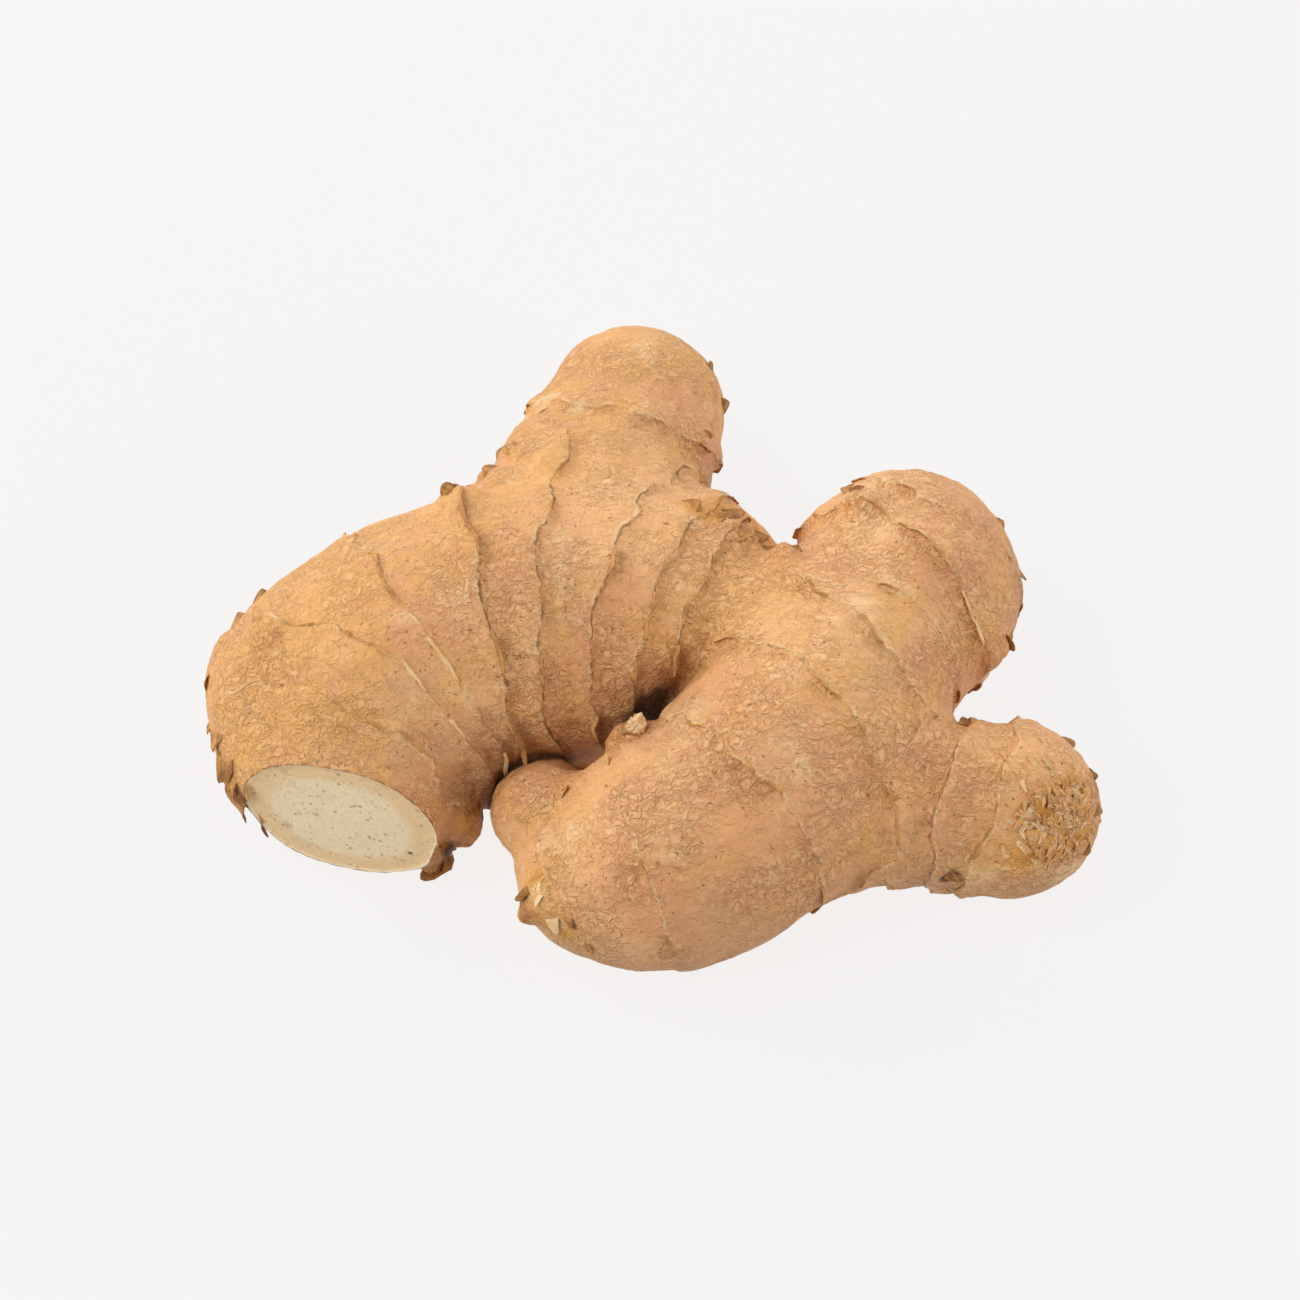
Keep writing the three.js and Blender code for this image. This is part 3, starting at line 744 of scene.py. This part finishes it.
def skin_material(settings, creases, marks):
    """Thin dry tan skin, crinkled all over, with stains in patches, painted shade before its scars' lips, in
    its crinkles and deep in its folds, and painted highlights on the crinkles' tops.
    """
    material, tree, shader = new_material("ginger_skin", 0.6, 0.4)
    point = millimetres(tree)
    place = add(tree, "Attribute", attribute_name="place").outputs["Vector"]
    past, strength, ink, scarred, crevice = (
        number(tree, name) for name in ("past", "ring", "ink", "scarred", "crevice"))
    ring = {"Point": point, "Past": past, "Ring": strength, "Ink": ink}
    ring = add(tree, "Group", ring, node_tree=marks).outputs
    coarse, fine = (
        add(tree, "Group", {"Point": point, "Size": size}, node_tree=creases).outputs["Height"]
        for size in CREASE_SIZES)
    rough = spots(tree, point, 13, 3, 0.55, 0.36, 0.6, 0.35, 1)
    crinkle = times(tree, calc(tree, "SUBTRACT", fine, 0.5), rough)
    pit = spots(tree, point, 0.8, 3, 0.7, 0.36, 0.29, 0, 0.7)
    fleck = spots(tree, point, 1.6, 4, 0.75, 0.62, 0.72, 0, 0.4)
    matted = cloud(tree, scaled(tree, point, 1, 0.6, 1), 0.9, 5, 0.8)
    # Painted shade with some dirt: dark spots, partly dirt and partly painted shade in holes and hollows,
    # and the crevice mask, both laid on in near-black brown.
    dirt_and_shade = ramp(tree, number(tree, "dirt_and_shade"), 0.1, 1, 0, 0.85)
    deep = calc(tree, "MAXIMUM", ramp(tree, crevice, 0.4, 1, 0, 0.9), dirt_and_shade)

    def patch(name, vector, *patches):
        """A patch kept on the mesh, broken up by noise."""
        return times(tree, number(tree, name), spots(tree, vector, *patches))

    # Spots are the noise's size, detail and roughness, where they start and are whole, and their strengths.
    colour = layered(tree, settings, "tan", (
        (spots(tree, point, 24, 3, 0.55, 0.4, 0.62, 0, 0.85), "rose"),
        (times(tree, number(tree, "rosy"), 0.75), "rose"),
        (spots(tree, scaled(tree, place, 0.3, 1, 1), 6, 4, 0.6, 0.48, 0.68, 0, 0.7), "yellow"),
        (patch("ochre", place, 4, 4, 0.6, 0.3, 0.6, 0.1, 0.75), "yellow"),
        (spots(tree, scaled(tree, point, 1, 1.1, 0.9), 17, 4, 0.6, 0.52, 0.68, 0, 0.55), "dull"),
        (spots(tree, point, 9, 4, 0.65, 0.54, 0.74, 0, 0.6), "pale"),
        # Painted shade: a darker orange band on the skin before each ring's lip.
        (times(tree, ring["LipShade"], 0.8), "orange"),
        # Painted shade in the crinkles' valleys, and a painted highlight on their tops.
        (ramp(tree, crinkle, 0, -0.4, 0, 0.42), "orange"),
        (ramp(tree, crinkle, 0.05, 0.45, 0, 0.27), "pale"),
        (pit, "brown"),
        (fleck, "orange"),
        (times(tree, ring["Crest"], 0.5), "pale"),
        (times(tree, ring["Line"], 0.85), "brown"),
        (patch("bud", point, 1.4, 4, 0.75, 0.4, 0.6, 0, 0.8), "orange"),
        (patch("fold", point, 3, 4, 0.7, 0.35, 0.6, 0, 0.7), "yellow"),
        (times(tree, scarred, 0.8), "ochre"),
        (times(tree, scarred, ramp(tree, matted, 0.42, 0.32, 0, 0.45)), "brown"),
        (patch("bleached", point, 2, 4, 0.7, 0.3, 0.55, 0, 0.7), "pale"),
        # Partly real stains, partly painted shade on the lower mother lobe beside the crevice.
        (patch("stain_and_shade", point, 2.4, 4, 0.7, 0.3, 0.6, 0, 0.75), "rust_and_shade"),
        (times(tree, number(tree, "peel"), 0.7), "brown"),
        # Painted shade in the crevice where the limbs meet: orange on its edges, then near-black brown deep
        # inside.
        (ramp(tree, crevice, 0, 0.6, 0, 0.7), "orange"),
        (deep, "soil_and_shade"),
    ))
    tree.links.new(calc(tree, "MULTIPLY_ADD", fine, -0.2, 0.68), shader.inputs["Roughness"])
    height = crinkle
    for part, weight in (
            (coarse, 0.5), (ring["Line"], -0.9), (ring["Crest"], 0.5), (pit, -0.7), (fleck, 0.5),
            (times(tree, scarred, matted), 1.2)):
        height = calc(tree, "MULTIPLY_ADD", part, weight, height)
    dress(tree, shader, colour, height, 1, SKIN_BUMP)
    return material


def flesh_material(settings):
    """Moist pale flesh at the cut, drier round the rim and dotted with cut strands."""
    material, tree, shader = new_material("ginger_flesh", 0.5)
    point = millimetres(tree)
    wavy = calc(tree, "MULTIPLY_ADD", cloud(tree, point, 4, 3), 0.16, number(tree, "flesh"))
    grain = cloud(tree, point, 0.55, 4, 0.75)
    dots = add(tree, "TexVoronoi", {"Vector": point, "Scale": 0.9}).outputs["Distance"]
    dots = times(tree, ramp(tree, dots, 0.34, 0.12, 0, 0.9), spots(tree, point, 2.2, 2, 0.5, 0.42, 0.6))
    layers = [
        (ramp(tree, wavy, 0.74, 0.88), "flesh_rim"),
        (ramp(tree, grain, 0.5, 0.72, 0, 0.5), "strand"),
        (dots, "strand"),
        (spots(tree, point, 3.4, 4, 0.7, 0.6, 0.72, 0, 0.6), "strand"),
    ]
    for middle, radius, share in FLESH_SPOTS:
        off = add(tree, "VectorMath", {0: point, 1: middle}, operation="DISTANCE").outputs["Value"]
        off = calc(tree, "MULTIPLY_ADD", cloud(tree, point, 0.9, 3, 0.7), radius, off)
        layers.append((ramp(tree, off, 1.5 * radius, 0.8 * radius, 0, share), "brown"))
    peel = calc(tree, "MULTIPLY_ADD", cloud(tree, point, 1.6, 3, 0.7), 0.9, number(tree, "peel"))
    layers.append((ramp(tree, peel, 1.1, 1.4), "strand"))
    layers.append((ramp(tree, peel, 1.38, 1.5), "brown"))
    height = calc(tree, "MULTIPLY_ADD", dots, -0.6, grain)
    dress(tree, shader, layered(tree, settings, "flesh", layers), height, 0.8, DRY_BUMP)
    return material


def hue(name, description, *screen):
    """A colour in the panel, by how it looks on a screen."""
    return FloatVectorProperty(name=name, description=description, default=linear(*screen), subtype="COLOR")


class GingerSkinSettings(PropertyGroup):
    """Sizes and colours of the skin."""

    grain: FloatProperty(name="Grain", description="Size of its faces", default=0.00064, unit="LENGTH")
    wrinkles: FloatProperty(name="Wrinkles", description="Depth of the creases", default=1, min=0, max=3)
    tan: hue("Tan", "The skin's main colour", 232, 174, 117)
    yellow: hue("Yellow", "Fresher, yellower skin", 229, 169, 96)
    dull: hue("Dull", "Greyer, older skin", 212, 164, 116)
    # Near-black brown, mostly painted shade deep in the crevice and in holes, with some real dirt.
    soil_and_shade: hue("Soil", "Dirt deep in the crevice", 64, 36, 16)
    # Orange, for flecks and buds, and for painted shade before the rings' lips, in the crinkles and at the
    # crevice's edge.
    orange: hue("Orange", "Skin beside the rings", 196, 128, 66)
    # Rust brown, for stains and for painted shade beside the crevice.
    rust_and_shade: hue("Rust", "Stained skin near the folds", 160, 98, 48)
    ochre: hue("Ochre", "Matted fibres of a scar", 230, 162, 70)
    rose: hue("Rose", "Rougher, pinker skin", 218, 153, 105)
    pale: hue("Pale", "Dry, pale skin", 244, 208, 152)
    brown: hue("Brown", "Scars and torn edges", 112, 66, 30)
    flesh: hue("Flesh", "The cut face's middle", 255, 232, 190)
    flesh_rim: hue("Flesh rim", "The cut face's drier rim", 250, 214, 160)
    strand: hue("Strands", "Ends of the cut strands", 206, 172, 128)


def roughen(skin, p, wrinkles):
    """Rings, creases and dents, and the numbers that the skin's colours follow."""
    normal = read(skin.data.vertex_normals, "vector")
    _, _, limbs = skin_field(p)
    lift, past, strength, ink = ring_relief(p, limbs)
    found = [lobe.nearest(p) for lobe in lobes]
    nearest = np.argmin([distance for distance, _, _, _ in found], axis=0)
    places = np.array([lobe.place(p, index, t) for lobe, (_, _, index, t) in zip(lobes, found)])
    place = places[nearest, np.arange(len(p))]
    calm = 1 - 0.6 * np.exp(-(past / 1.2) ** 2) * strength
    bud = bud_nearness(p)
    lift += bud * (0.5 * noise(p, 1.6, 21) - 0.4 * np.abs(noise(p, 2.6, 22)))
    scarred = patch_share(p, PATCHES["scarred"])
    lift += scarred * (0.45 * noise(p, 1.5, 23) - 0.3 * np.abs(noise(p, 2.2, 24)))
    p = p + normal * (lift + wrinkles * wrinkle_relief(p, place, calm))[:, None]
    p[:, 2] = np.maximum(p[:, 2], 0)
    put_points(skin, p)
    back, front, side = limbs
    gap = np.abs(back - np.minimum(front, side))
    open_side = smooth((SADDLE_FROM + 3 - p[:, 0]) / 4) * smooth((p[:, 1] + 34) / 5)
    numbers = {
        "past": past, "ring": strength, "ink": ink, "bud": bud,
        # A mask near the crevice between the limbs, which the skin's colours use for painted shade.
        "crevice": smooth(1 - gap / 2.8) * open_side,
        "fold": smooth(1 - np.abs(front - side) / 2),
    }
    for name, centres in PATCHES.items():
        numbers[name] = patch_share(p, centres)
    for name, values in numbers.items():
        keep_number(skin, name, values)
    faces = read(skin.data.loops, "vertex_index", 1, int)[:, 0]
    starts = read(skin.data.polygons, "loop_start", 1, int)[:, 0]
    counts = read(skin.data.polygons, "loop_total", 1, int)[:, 0]
    owner = np.repeat(nearest[faces[starts]], counts)
    corner = places[owner, faces] + np.outer(owner, (LOBE_GAP, 0, 0))
    kept = skin.data.attributes.new("place", "FLOAT_VECTOR", "CORNER")
    kept.data.foreach_set("vector", corner.ravel())


def cut(skin):
    """The knife's flat face at the mother lobe's end, with rows of faces for its relief."""
    choose(skin)
    across = np.array((-CUT_FACING[1], CUT_FACING[0], 0))
    off = read(skin.data.polygons, "center") / MM - CUT_AT
    near = (np.abs(off @ across) < CUT_HALF) & (off @ CUT_FACING > -4)
    skin.data.polygons.foreach_set("select", near)
    bpy.ops.object.mode_set(mode="EDIT")
    bpy.ops.mesh.select_mode(type="FACE")
    bpy.ops.mesh.bisect(
        plane_co=CUT_AT * MM, plane_no=CUT_FACING, use_fill=True, clear_outer=True, threshold=1e-6)
    bpy.ops.object.mode_set(mode="OBJECT")
    mesh = bmesh.new()
    mesh.from_mesh(skin.data)
    depth = mesh.verts.layers.float.new("flesh")
    peel = mesh.verts.layers.float.new("peel")
    face = max(mesh.faces, key=lambda f: len(f.verts))
    outer = list(face.verts)
    middle = face.calc_center_median()
    mesh.faces.remove(face)
    corners = [v.co.copy() for v in outer]
    for i, vert in enumerate(outer):
        vert[peel] = 1
        mesh.edges.get((vert, outer[i - 1])).smooth = False
    for row in range(FLESH_ROWS):
        share = (1 - FLESH_EDGE) * (1 - row / FLESH_ROWS)
        inner = []
        for corner in corners:
            vert = mesh.verts.new(middle + (corner - middle) * share)
            vert[depth] = share
            inner.append(vert)
        for i, vert in enumerate(outer):
            made = mesh.faces.new((outer[i - 1], vert, inner[i], inner[i - 1]))
            made.material_index = 1
            made.smooth = True
        outer = inner
    made = mesh.faces.new(outer)
    made.material_index = 1
    bmesh.ops.poke(mesh, faces=[made])
    for vert in mesh.verts:
        if vert[depth] > 0:
            p = np.array([vert.co]) / MM
            crown = 0.25 * (1 - vert[depth] ** 2) - 0.3
            vert.co += Vector(CUT_FACING * (crown + 0.14 * noise(p, 2.5, 31)[0]) * MM)
    mesh.to_mesh(skin.data)
    mesh.free()


class GINGER_OT_skin(Operator):
    """Grow the hand's skin over its lobes, rings and buds"""

    bl_idname = "ginger.skin"
    bl_label = "Skin"

    def execute(self, context):
        settings = context.scene.ginger_skin
        deselect()
        for x, y, z, radius, flat in np.vstack([lobe.points[::2] for lobe in lobes] + buds):
            bpy.ops.mesh.primitive_ico_sphere_add(
                subdivisions=4, radius=radius * MM, location=(x * MM, y * MM, z * MM), scale=(1, 1, flat))
        balls = [thing for thing in bpy.data.objects if thing.name.startswith("Icosphere")]
        skin = join(balls, "ginger_skin")
        bpy.ops.object.transform_apply(location=True, rotation=True, scale=True)
        apply(skin, "REMESH", mode="VOXEL", voxel_size=settings.grain)
        edges = read(skin.data.edges, "vertices", 2, int)
        p = settle(points_of(skin), 3)
        for _ in range(3):
            p = settle(relax(p, edges), 2)
        put_points(skin, p)
        roughen(skin, p, settings.wrinkles)
        cut(skin)
        skin.data.materials.append(skin_material(settings, crease_group(), ring_group()))
        skin.data.materials.append(flesh_material(settings))
        bpy.ops.object.shade_smooth()
        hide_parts("rhizome")
        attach(skin, "root")
        return {"FINISHED"}


def scale_material(settings):
    """Dry torn skin, pale or brown, and browner towards its free edge."""
    material, tree, shader = new_material("ginger_scale", 0.75, 0.3)
    point = millimetres(tree)
    mottle = spots(tree, point, 1.8, 4, 0.7, 0.35, 0.65)
    shade = number(tree, "shade")
    edge = ramp(tree, times(tree, number(tree, "edge"), mottle), 0.35, 0.8, 0, settings.burn)
    colour = layered(tree, settings, "brown", (
        (shade, "tan"),
        (ramp(tree, shade, 0.6, 1), "pale"),
        (times(tree, mottle, 0.6), "ochre"),
        (edge, "brown"),
    ))
    dress(tree, shader, colour, cloud(tree, point, 0.6, 4, 0.7), 0.8, DRY_BUMP)
    return material


class GingerScalesSettings(PropertyGroup):
    """The torn scales along the rings, the loose scraps of skin and the stub."""

    fringe: FloatProperty(name="Fringe", description="Reach of a torn scale", default=0.0004, unit="LENGTH")
    thickness: FloatProperty(name="Thickness", description="Of the dry skin", default=0.00016, unit="LENGTH")
    burn: FloatProperty(name="Burn", description="How brown the free edges are", default=0.7, min=0, max=1)
    tan: hue("Tan", "Dry skin", 214, 160, 104)
    pale: hue("Pale", "Bleached dry skin", 242, 214, 170)
    ochre: hue("Ochre", "Fibrous skin", 236, 172, 92)
    brown: hue("Brown", "Torn, dried edges", 120, 74, 36)


def grid(name, columns, rows):
    """A new square grid, one across, and its vertices."""
    deselect()
    bpy.ops.mesh.primitive_grid_add(x_subdivisions=columns, y_subdivisions=rows, size=1)
    thing = bpy.context.active_object
    thing.name = name
    return thing, points_of(thing) * MM + (0.5, 0, 0)


def thicken(thing, thickness):
    """A sheet given its thickness, outwards and inwards alike."""
    apply(thing, "SOLIDIFY", thickness=thickness, offset=0)
    bpy.ops.object.shade_smooth_by_angle(angle=math.radians(50))


def outward(p):
    """The skin's own direction outwards."""
    return unit(skin_field(p)[1])


class GINGER_OT_scales(Operator):
    """Raise the torn edges of the leaf scales along the rings"""

    bl_idname = "ginger.scales"
    bl_label = "Scales"

    def execute(self, context):
        settings = context.scene.ginger_scales
        fringe = settings.fringe / MM
        made = []
        for i, ring in enumerate(rings):
            thing, square = grid(f"scale_{i}", SCALE_STEPS, 3)
            turn = 2 * math.pi * square[:, 0] - math.pi / 2
            p = np.outer(np.cos(turn), ring.side) + np.outer(np.sin(turn), ring.up)
            p = ring.at + 1.1 * ring.radius * p
            for _ in range(7):
                p = settle(p, 1)
                p -= np.outer(np.clip(ring.past(p) + ragged(p), -2, 2), ring.facing)
            p = settle(p, 1)
            _, _, limbs = skin_field(p)
            lift, past, _, _ = ring_relief(p, limbs)
            own = limbs[LIMBS.index(ring.limb)] < limbs.min(0) + 0.4
            here = ring.fade(p) * own * (np.abs(past) < 0.5)
            torn = smooth((noise(p, 3.4, 41 + i) + 0.1) / 0.3) * here
            rag = torn * (0.75 + 0.5 * noise(p, 1.3, 42) + 0.6 * np.abs(noise(p, 0.7, 43)))
            row = np.rint(3 * (square[:, 1] + 0.5)).astype(int)
            reach = np.array(SCALE_REACH)[row]
            height = np.array(SCALE_HEIGHT)[row]
            normal = outward(p)
            edge = reach < 0
            p = p + np.outer(np.where(edge, reach * fringe * rag, reach), ring.facing)
            p += normal * (lift + np.where(edge, height * rag, height) - 1.1 * (1 - torn))[:, None]
            p[:, 2] = np.maximum(p[:, 2], 0.1)
            put_points(thing, p)
            keep_number(thing, "edge", smooth(-reach) * torn * (0.35 + 0.8 * ring.ink))
            keep_number(thing, "shade", np.clip(0.72 + 0.35 * noise(p, 4, 44) - 0.35 * ring.ink, 0, 1))
            mesh = bmesh.new()
            mesh.from_mesh(thing.data)
            mesh.verts.ensure_lookup_table()
            lost = [face for face in mesh.faces if max(torn[v.index] for v in face.verts) < 0.02]
            bmesh.ops.delete(mesh, geom=lost, context="FACES")
            mesh.to_mesh(thing.data)
            mesh.free()
            made.append(thing)
        scales = join(made, "ginger_scales")
        thicken(scales, settings.thickness)
        scales.data.materials.append(scale_material(settings))
        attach(scales, "root")
        return {"FINISHED"}


def fibre_noise(step, *seeds):
    """Numbers from -1 to 1 for each fibre, one for each seed."""
    points = np.outer(np.arange(FIBRES), step)
    return np.stack([noise(points, 1, seed) for seed in seeds], axis=1)


class GINGER_OT_scraps(Operator):
    """Lay the loose scraps of dry skin and the matted fibres of the finger's scar"""

    bl_idname = "ginger.scraps"
    bl_label = "Scraps"

    def execute(self, context):
        settings = context.scene.ginger_scales
        roots = FIBRE_AT + FIBRE_SPREAD * fibre_noise((7.3, 3.1, 5.7), 50, 51, 52)
        ways = unit(fibre_noise((4.1, 9.3, 2.9), 53, 54, 55))
        size = 0.5 + 0.5 * fibre_noise((6.1, 2.3, 8.7), 56)
        lift = np.full_like(size, FIBRE_LIFT)
        fibres = np.hstack([roots, ways, 1.8 + 2.4 * size, 0.5 + 0.5 * size, lift, 0.55 + 0.4 * size])
        made = []
        for k, row in enumerate(np.vstack([SCRAPS, fibres])):
            root, heading, (length, width, lift, shade) = row[:3], row[3:6], row[6:]
            thing, square = grid(f"scrap_{k}", SCRAP_ROWS, SCRAP_COLUMNS)
            root = settle(root[None], 4)
            normal = outward(root)[0]
            along = unit(heading - normal * (heading @ normal))
            across = np.cross(normal, along)
            u, v = square[:, 0], square[:, 1]
            seed = square * (length, width, 0) + 10.0 * k
            fray = 0.22 * noise(seed, 0.25 * width + 0.2, 61) * smooth(2 * np.abs(v) + u - 0.6)
            spread = 1 - 0.5 * u ** 2 * (1 - 0.5 * noise(np.full_like(square, 7.7 * k), 1, 62))
            p = root + np.outer(u * SCRAP_LENGTH * length * (1 + fray) * (1 - 0.35 * (2 * v) ** 2), along)
            p += np.outer((v + 0.3 * fray) * width * spread, across)
            p = settle(p, 3)
            rise = -0.35 + (0.6 * lift + 0.35) * u ** 1.3 + 0.2 * lift * noise(seed, 0.5 * width, 63)
            rise -= 0.3 * lift * (2 * v) ** 2 * u
            p += outward(p) * (rise + 0.2 * smooth(u / 0.3))[:, None]
            p[:, 2] = np.maximum(p[:, 2], 0.3)
            put_points(thing, p)
            keep_number(thing, "edge", smooth(1.3 * u + (2 * v) ** 2 - 0.5) * (1.1 - shade))
            keep_number(thing, "shade", np.full(len(p), shade))
            made.append(thing)
        made = join(made, "ginger_scraps")
        thicken(made, settings.thickness)
        made.data.materials.append(scale_material(settings))
        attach(made, "root")
        return {"FINISHED"}


class GINGER_OT_stub(Operator):
    """Stand the broken root stub in the crevice"""

    bl_idname = "ginger.stub"
    bl_label = "Stub"

    def execute(self, context):
        settings = context.scene.ginger_scales
        deselect()
        bpy.ops.mesh.primitive_cylinder_add(vertices=40, radius=1, depth=1, end_fill_type="TRIFAN")
        stub = context.active_object
        stub.name = "ginger_stub"
        apply(stub, "SUBSURF", subdivision_type="SIMPLE", levels=3)
        p = points_of(stub) * MM
        top = smooth(p[:, 2] + 0.5)
        wide = 1 + 0.4 * noise(p, 0.7, 71) + 0.4 * smooth((p[:, 2] - 0.1) / 0.4) * np.abs(noise(p, 0.35, 72))
        p[:, :2] *= wide[:, None] * (1 - 0.2 * top)[:, None]
        p[:, 2] += (0.22 * noise(p, 0.5, 73) + 0.12 * noise(p, 0.2, 74)) * top
        lean = unit(np.array(STUB_LEAN))
        side = unit(np.cross(lean, (0, 0, 1)))
        frame_of = np.array((side * STUB_SIZE[0], np.cross(side, lean) * STUB_SIZE[1], lean * STUB_SIZE[2]))
        put_points(stub, p @ frame_of + STUB_AT)
        keep_number(stub, "edge", smooth(1 - np.abs(p[:, 2] - 0.42) / 0.12) * 0.8)
        keep_number(stub, "shade", 0.35 + 0.6 * smooth((p[:, 2] - 0.1) / 0.4))
        bpy.ops.object.shade_smooth_by_angle(angle=math.radians(40))
        stub.data.materials.append(scale_material(settings))
        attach(stub, "root")
        return {"FINISHED"}


class GingerStageSettings(PropertyGroup):
    """The floor, the lights and the camera."""

    floor: hue("Floor", "The floor's colour", 247, 245, 244)
    lens: FloatProperty(name="Lens", description="The camera's lens", default=100, unit="CAMERA")
    eye: FloatVectorProperty(
        name="Eye", description="The camera's place", default=(0.00022, -0.34036, 0.41601), unit="LENGTH")
    rise: FloatProperty(
        name="Rise", description="How steeply it looks down", default=math.radians(50), unit="ROTATION")


class GINGER_OT_stage(Operator):
    """Set the pale floor, the soft lights and the camera"""

    bl_idname = "ginger.stage"
    bl_label = "Stage"

    def execute(self, context):
        settings = context.scene.ginger_stage
        deselect()
        bpy.ops.mesh.primitive_plane_add(size=6)
        floor = context.active_object
        floor.name = "floor"
        material, tree, shader = new_material("pale_floor", 0.9, 0)
        shader.inputs["Base Color"].default_value = (0.06, 0.06, 0.06, 1)
        shader.inputs["Emission Color"].default_value = (*settings.floor, 1)
        seen = add(tree, "LightPath").outputs["Is Camera Ray"]
        glow = ramp(tree, seen, 0, 1, FLOOR_GLOW, FLOOR_SHINE)
        tree.links.new(glow, shader.inputs["Emission Strength"])
        floor.data.materials.append(material)
        for name, place, power in (
                ("key", (-0.69, -0.28, 1.065), 8.6),
                ("right_front", (1.02, -0.59, 0.55), 7.2),
                ("right_back", (1.02, 0.59, 0.55), 6.9),
                ("back", (0, 1.18, 0.55), 6.9),
                ("left_back", (-1.02, 0.59, 0.55), 9.6),
                ("left_front", (-1.02, -0.59, 0.55), 4.8)):
            bpy.ops.object.light_add(type="AREA", location=place)
            lamp = context.active_object
            lamp.name = name
            lamp.data.size = LAMP_SIZE
            lamp.data.energy = power
            tilt = math.acos(place[2] / np.linalg.norm(place))
            lamp.rotation_euler = (0, tilt, math.atan2(place[1], place[0]))
        world = bpy.data.worlds.new("studio")
        world.use_nodes = True
        sky = world.node_tree.nodes["Background"].inputs
        sky["Color"].default_value = (1, 1, 1, 1)
        sky["Strength"].default_value = SKY_GLOW
        context.scene.world = world
        bpy.ops.object.camera_add(location=settings.eye, rotation=(math.pi / 2 - settings.rise, 0, 0))
        camera = context.active_object
        camera.data.lens = settings.lens
        camera.data.sensor_width = 36
        camera.data.clip_start = 0.01
        context.scene.camera = camera
        context.scene.view_settings.view_transform = "Standard"
        return {"FINISHED"}


class GINGER_PT_panel(Panel):
    """The hand's pieces, in the order they are made"""

    bl_idname = "GINGER_PT_panel"
    bl_label = "Ginger hand"
    bl_space_type = "VIEW_3D"
    bl_region_type = "UI"
    bl_category = "Ginger"

    def draw(self, context):
        for name, (settings, *operators) in STEPS.items():
            box = self.layout.box()
            for label in settings.__annotations__:
                box.prop(getattr(context.scene, name), label)
            for operator in operators:
                box.operator(operator.bl_idname)


STEPS = {
    "ginger_stage": (GingerStageSettings, GINGER_OT_stage),
    "ginger_skin": (GingerSkinSettings, GINGER_OT_skin),
    "ginger_scales": (GingerScalesSettings, GINGER_OT_scales, GINGER_OT_scraps, GINGER_OT_stub),
}
CLASSES = [made for step in STEPS.values() for made in step] + [GINGER_PT_panel]


def register():
    """Blender told of the classes."""
    for made in CLASSES:
        bpy.utils.register_class(made)
    for name, (settings, *_) in STEPS.items():
        setattr(bpy.types.Scene, name, PointerProperty(type=settings))


def unregister():
    """Blender told to forget the classes."""
    for name in STEPS:
        delattr(bpy.types.Scene, name)
    for made in reversed(CLASSES):
        bpy.utils.unregister_class(made)


def main():
    """Every piece made in order."""
    register()
    bpy.ops.ginger.stage()
    bpy.ops.ginger.skin()
    bpy.ops.ginger.scales()
    bpy.ops.ginger.scraps()
    bpy.ops.ginger.stub()


if __name__ == "__main__":
    main()
